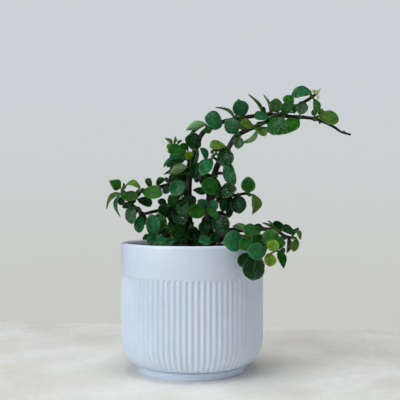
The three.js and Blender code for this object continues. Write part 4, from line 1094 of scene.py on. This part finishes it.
# %% Cream buds
BUDS = [
    [(106, 233.2, -8.4, 1.1), (104.6, 234.4, -9.4, 1.7), (103, 235.4, -9.8, 1.3),
     (101.6, 236.2, -10, 0.4)],
    [(106, 233.2, -8.4, 1.3), (107.2, 234.8, -9, 0.9), (109.2, 237.4, -9, 0.3)],
    [(105.6, 232, -8.6, 0.7), (107.2, 230.8, -9.4, 0.9), (106.8, 229.2, -10, 0.7),
     (105.6, 228.4, -10, 0.3)],
]
bm = bmesh.new()
for bud in BUDS:
    tube(bm, smooth_line(placed(bud), 0.5), 12)
bmesh.ops.recalc_face_normals(bm, faces=bm.faces)
bud_skin = Recipe("bud_skin")
place = bud_skin.places()
dried = bud_skin.ramp(bud_skin.noise(place, 260, 3), 0.42, 0.62)
bud_skin.set(Base_Color=bud_skin.mix(dried, rgb(190, 200, 142), rgb(92, 66, 44)), Roughness=0.5,
             Normal=bud_skin.bump(bud_skin.noise(place, 700, 3), 0.0003, 0.6))
finish_piece("tip_buds", bm, bud_skin)
print("buds:", len(BUDS))

# %% [markdown]
# ## Studio
# A pale stone top ends some way behind the pot. Soft cool light comes from a large lamp on the left. Wax and
# glaze mirror a smaller, brighter lamp in the same place instead, which lights nothing else. A lamp overhead
# lights the stone, and a weak warm one fills in from the right.

# %% Table top
TABLE_SIDE = 1600
TABLE_FRONT = -2200
TABLE_BACK = [(-TABLE_SIDE, 405), (TABLE_SIDE, 9)]
bm = bmesh.new()
far_left, far_right = [bm.verts.new((x, y, 0)) for x, y in TABLE_BACK]
near_right, near_left = [bm.verts.new((x, TABLE_FRONT, 0)) for x in (TABLE_SIDE, -TABLE_SIDE)]
bm.faces.new((near_left, near_right, far_right, far_left))
stone = Recipe("pale_stone")
place = stone.places()
cloud = stone.ramp(stone.noise(place, 11, 6, 0.62), 0.34, 0.66)
drift = stone.ramp(stone.noise(place, 45, 5, 0.7), 0.35, 0.65)
stone_tint = stone.mix(cloud, rgb(236, 232, 222), rgb(255, 254, 250))
stone.set(Base_Color=stone.mix(stone.times(drift, 0.3), stone_tint, rgb(212, 205, 190)),
          Roughness=0.6, Normal=stone.bump(stone.noise(place, 200, 3), 0.0003, 0.3))
table_top = make_object("table_top", bm, stone)


# %% Lights
def softbox(name, at, size, power, colour, lights_up=True, mirrored=True):
    light = bpy.data.lights.new(name, "AREA")
    light.shape = "RECTANGLE"
    light.size, light.size_y = size
    light.energy = power
    light.color = colour
    lamp = bpy.data.objects.new(name, light)
    lamp.location = at
    lamp.rotation_euler = (Vector((0, 0, 0.13)) - Vector(at)).to_track_quat("-Z", "Y").to_euler()
    lamp.visible_diffuse = lights_up
    lamp.visible_glossy = mirrored
    bpy.context.scene.collection.objects.link(lamp)


WINDOW = (-1.22, -1.02, 0.95)
softbox("window", WINDOW, (1.0, 1.1), 11.5, (0.86, 0.94, 1.0), mirrored=False)
softbox("window_panes", WINDOW, (0.6, 0.8), 60, (0.93, 0.98, 1.0), lights_up=False)
softbox("overhead", (0.0, -0.2, 1.7), (0.9, 0.9), 13, (0.98, 0.98, 1.0), mirrored=False)
softbox("fill", (1.5, -1.0, 0.6), (0.8, 0.8), 1.0, (1.0, 0.96, 0.9))

# %% [markdown]
# Behind the table there is only the world's own colour: cool and grey, a little warmer near the table. What
# lights the plant is weaker than what the camera sees, and weakest in mirror images, so that they stay dark.

# %% World
AMBIENT = 0.46
IN_REFLECTIONS = 0.03
world = bpy.data.worlds.new("studio")
bpy.context.scene.world = world
sky = Tree(world)
height = sky.node("ShaderNodeSeparateXYZ", {0: sky.places("Generated")}).outputs["Z"]
climb = sky.node("ShaderNodeMapRange", {"Value": height, "From Min": -0.15, "From Max": 0.12})
backdrop = sky.tree.nodes["Background"]
sky.put(backdrop.inputs[0], sky.mix(climb, rgb(203, 203, 198), rgb(203, 209, 212)))
ray = sky.node("ShaderNodeLightPath").outputs
strength = sky.node("ShaderNodeMath", {
    0: ray["Is Glossy Ray"], 1: IN_REFLECTIONS - AMBIENT, 2: AMBIENT}, operation="MULTIPLY_ADD")
around = sky.node("ShaderNodeBackground", {0: rgb(205, 210, 214), 1: strength})
chooser = sky.node("ShaderNodeMixShader", {0: ray["Is Camera Ray"], 1: around, 2: backdrop})
sky.put(sky.tree.nodes["World Output"].inputs[0], chooser)
bpy.context.scene.view_settings.view_transform = "Standard"
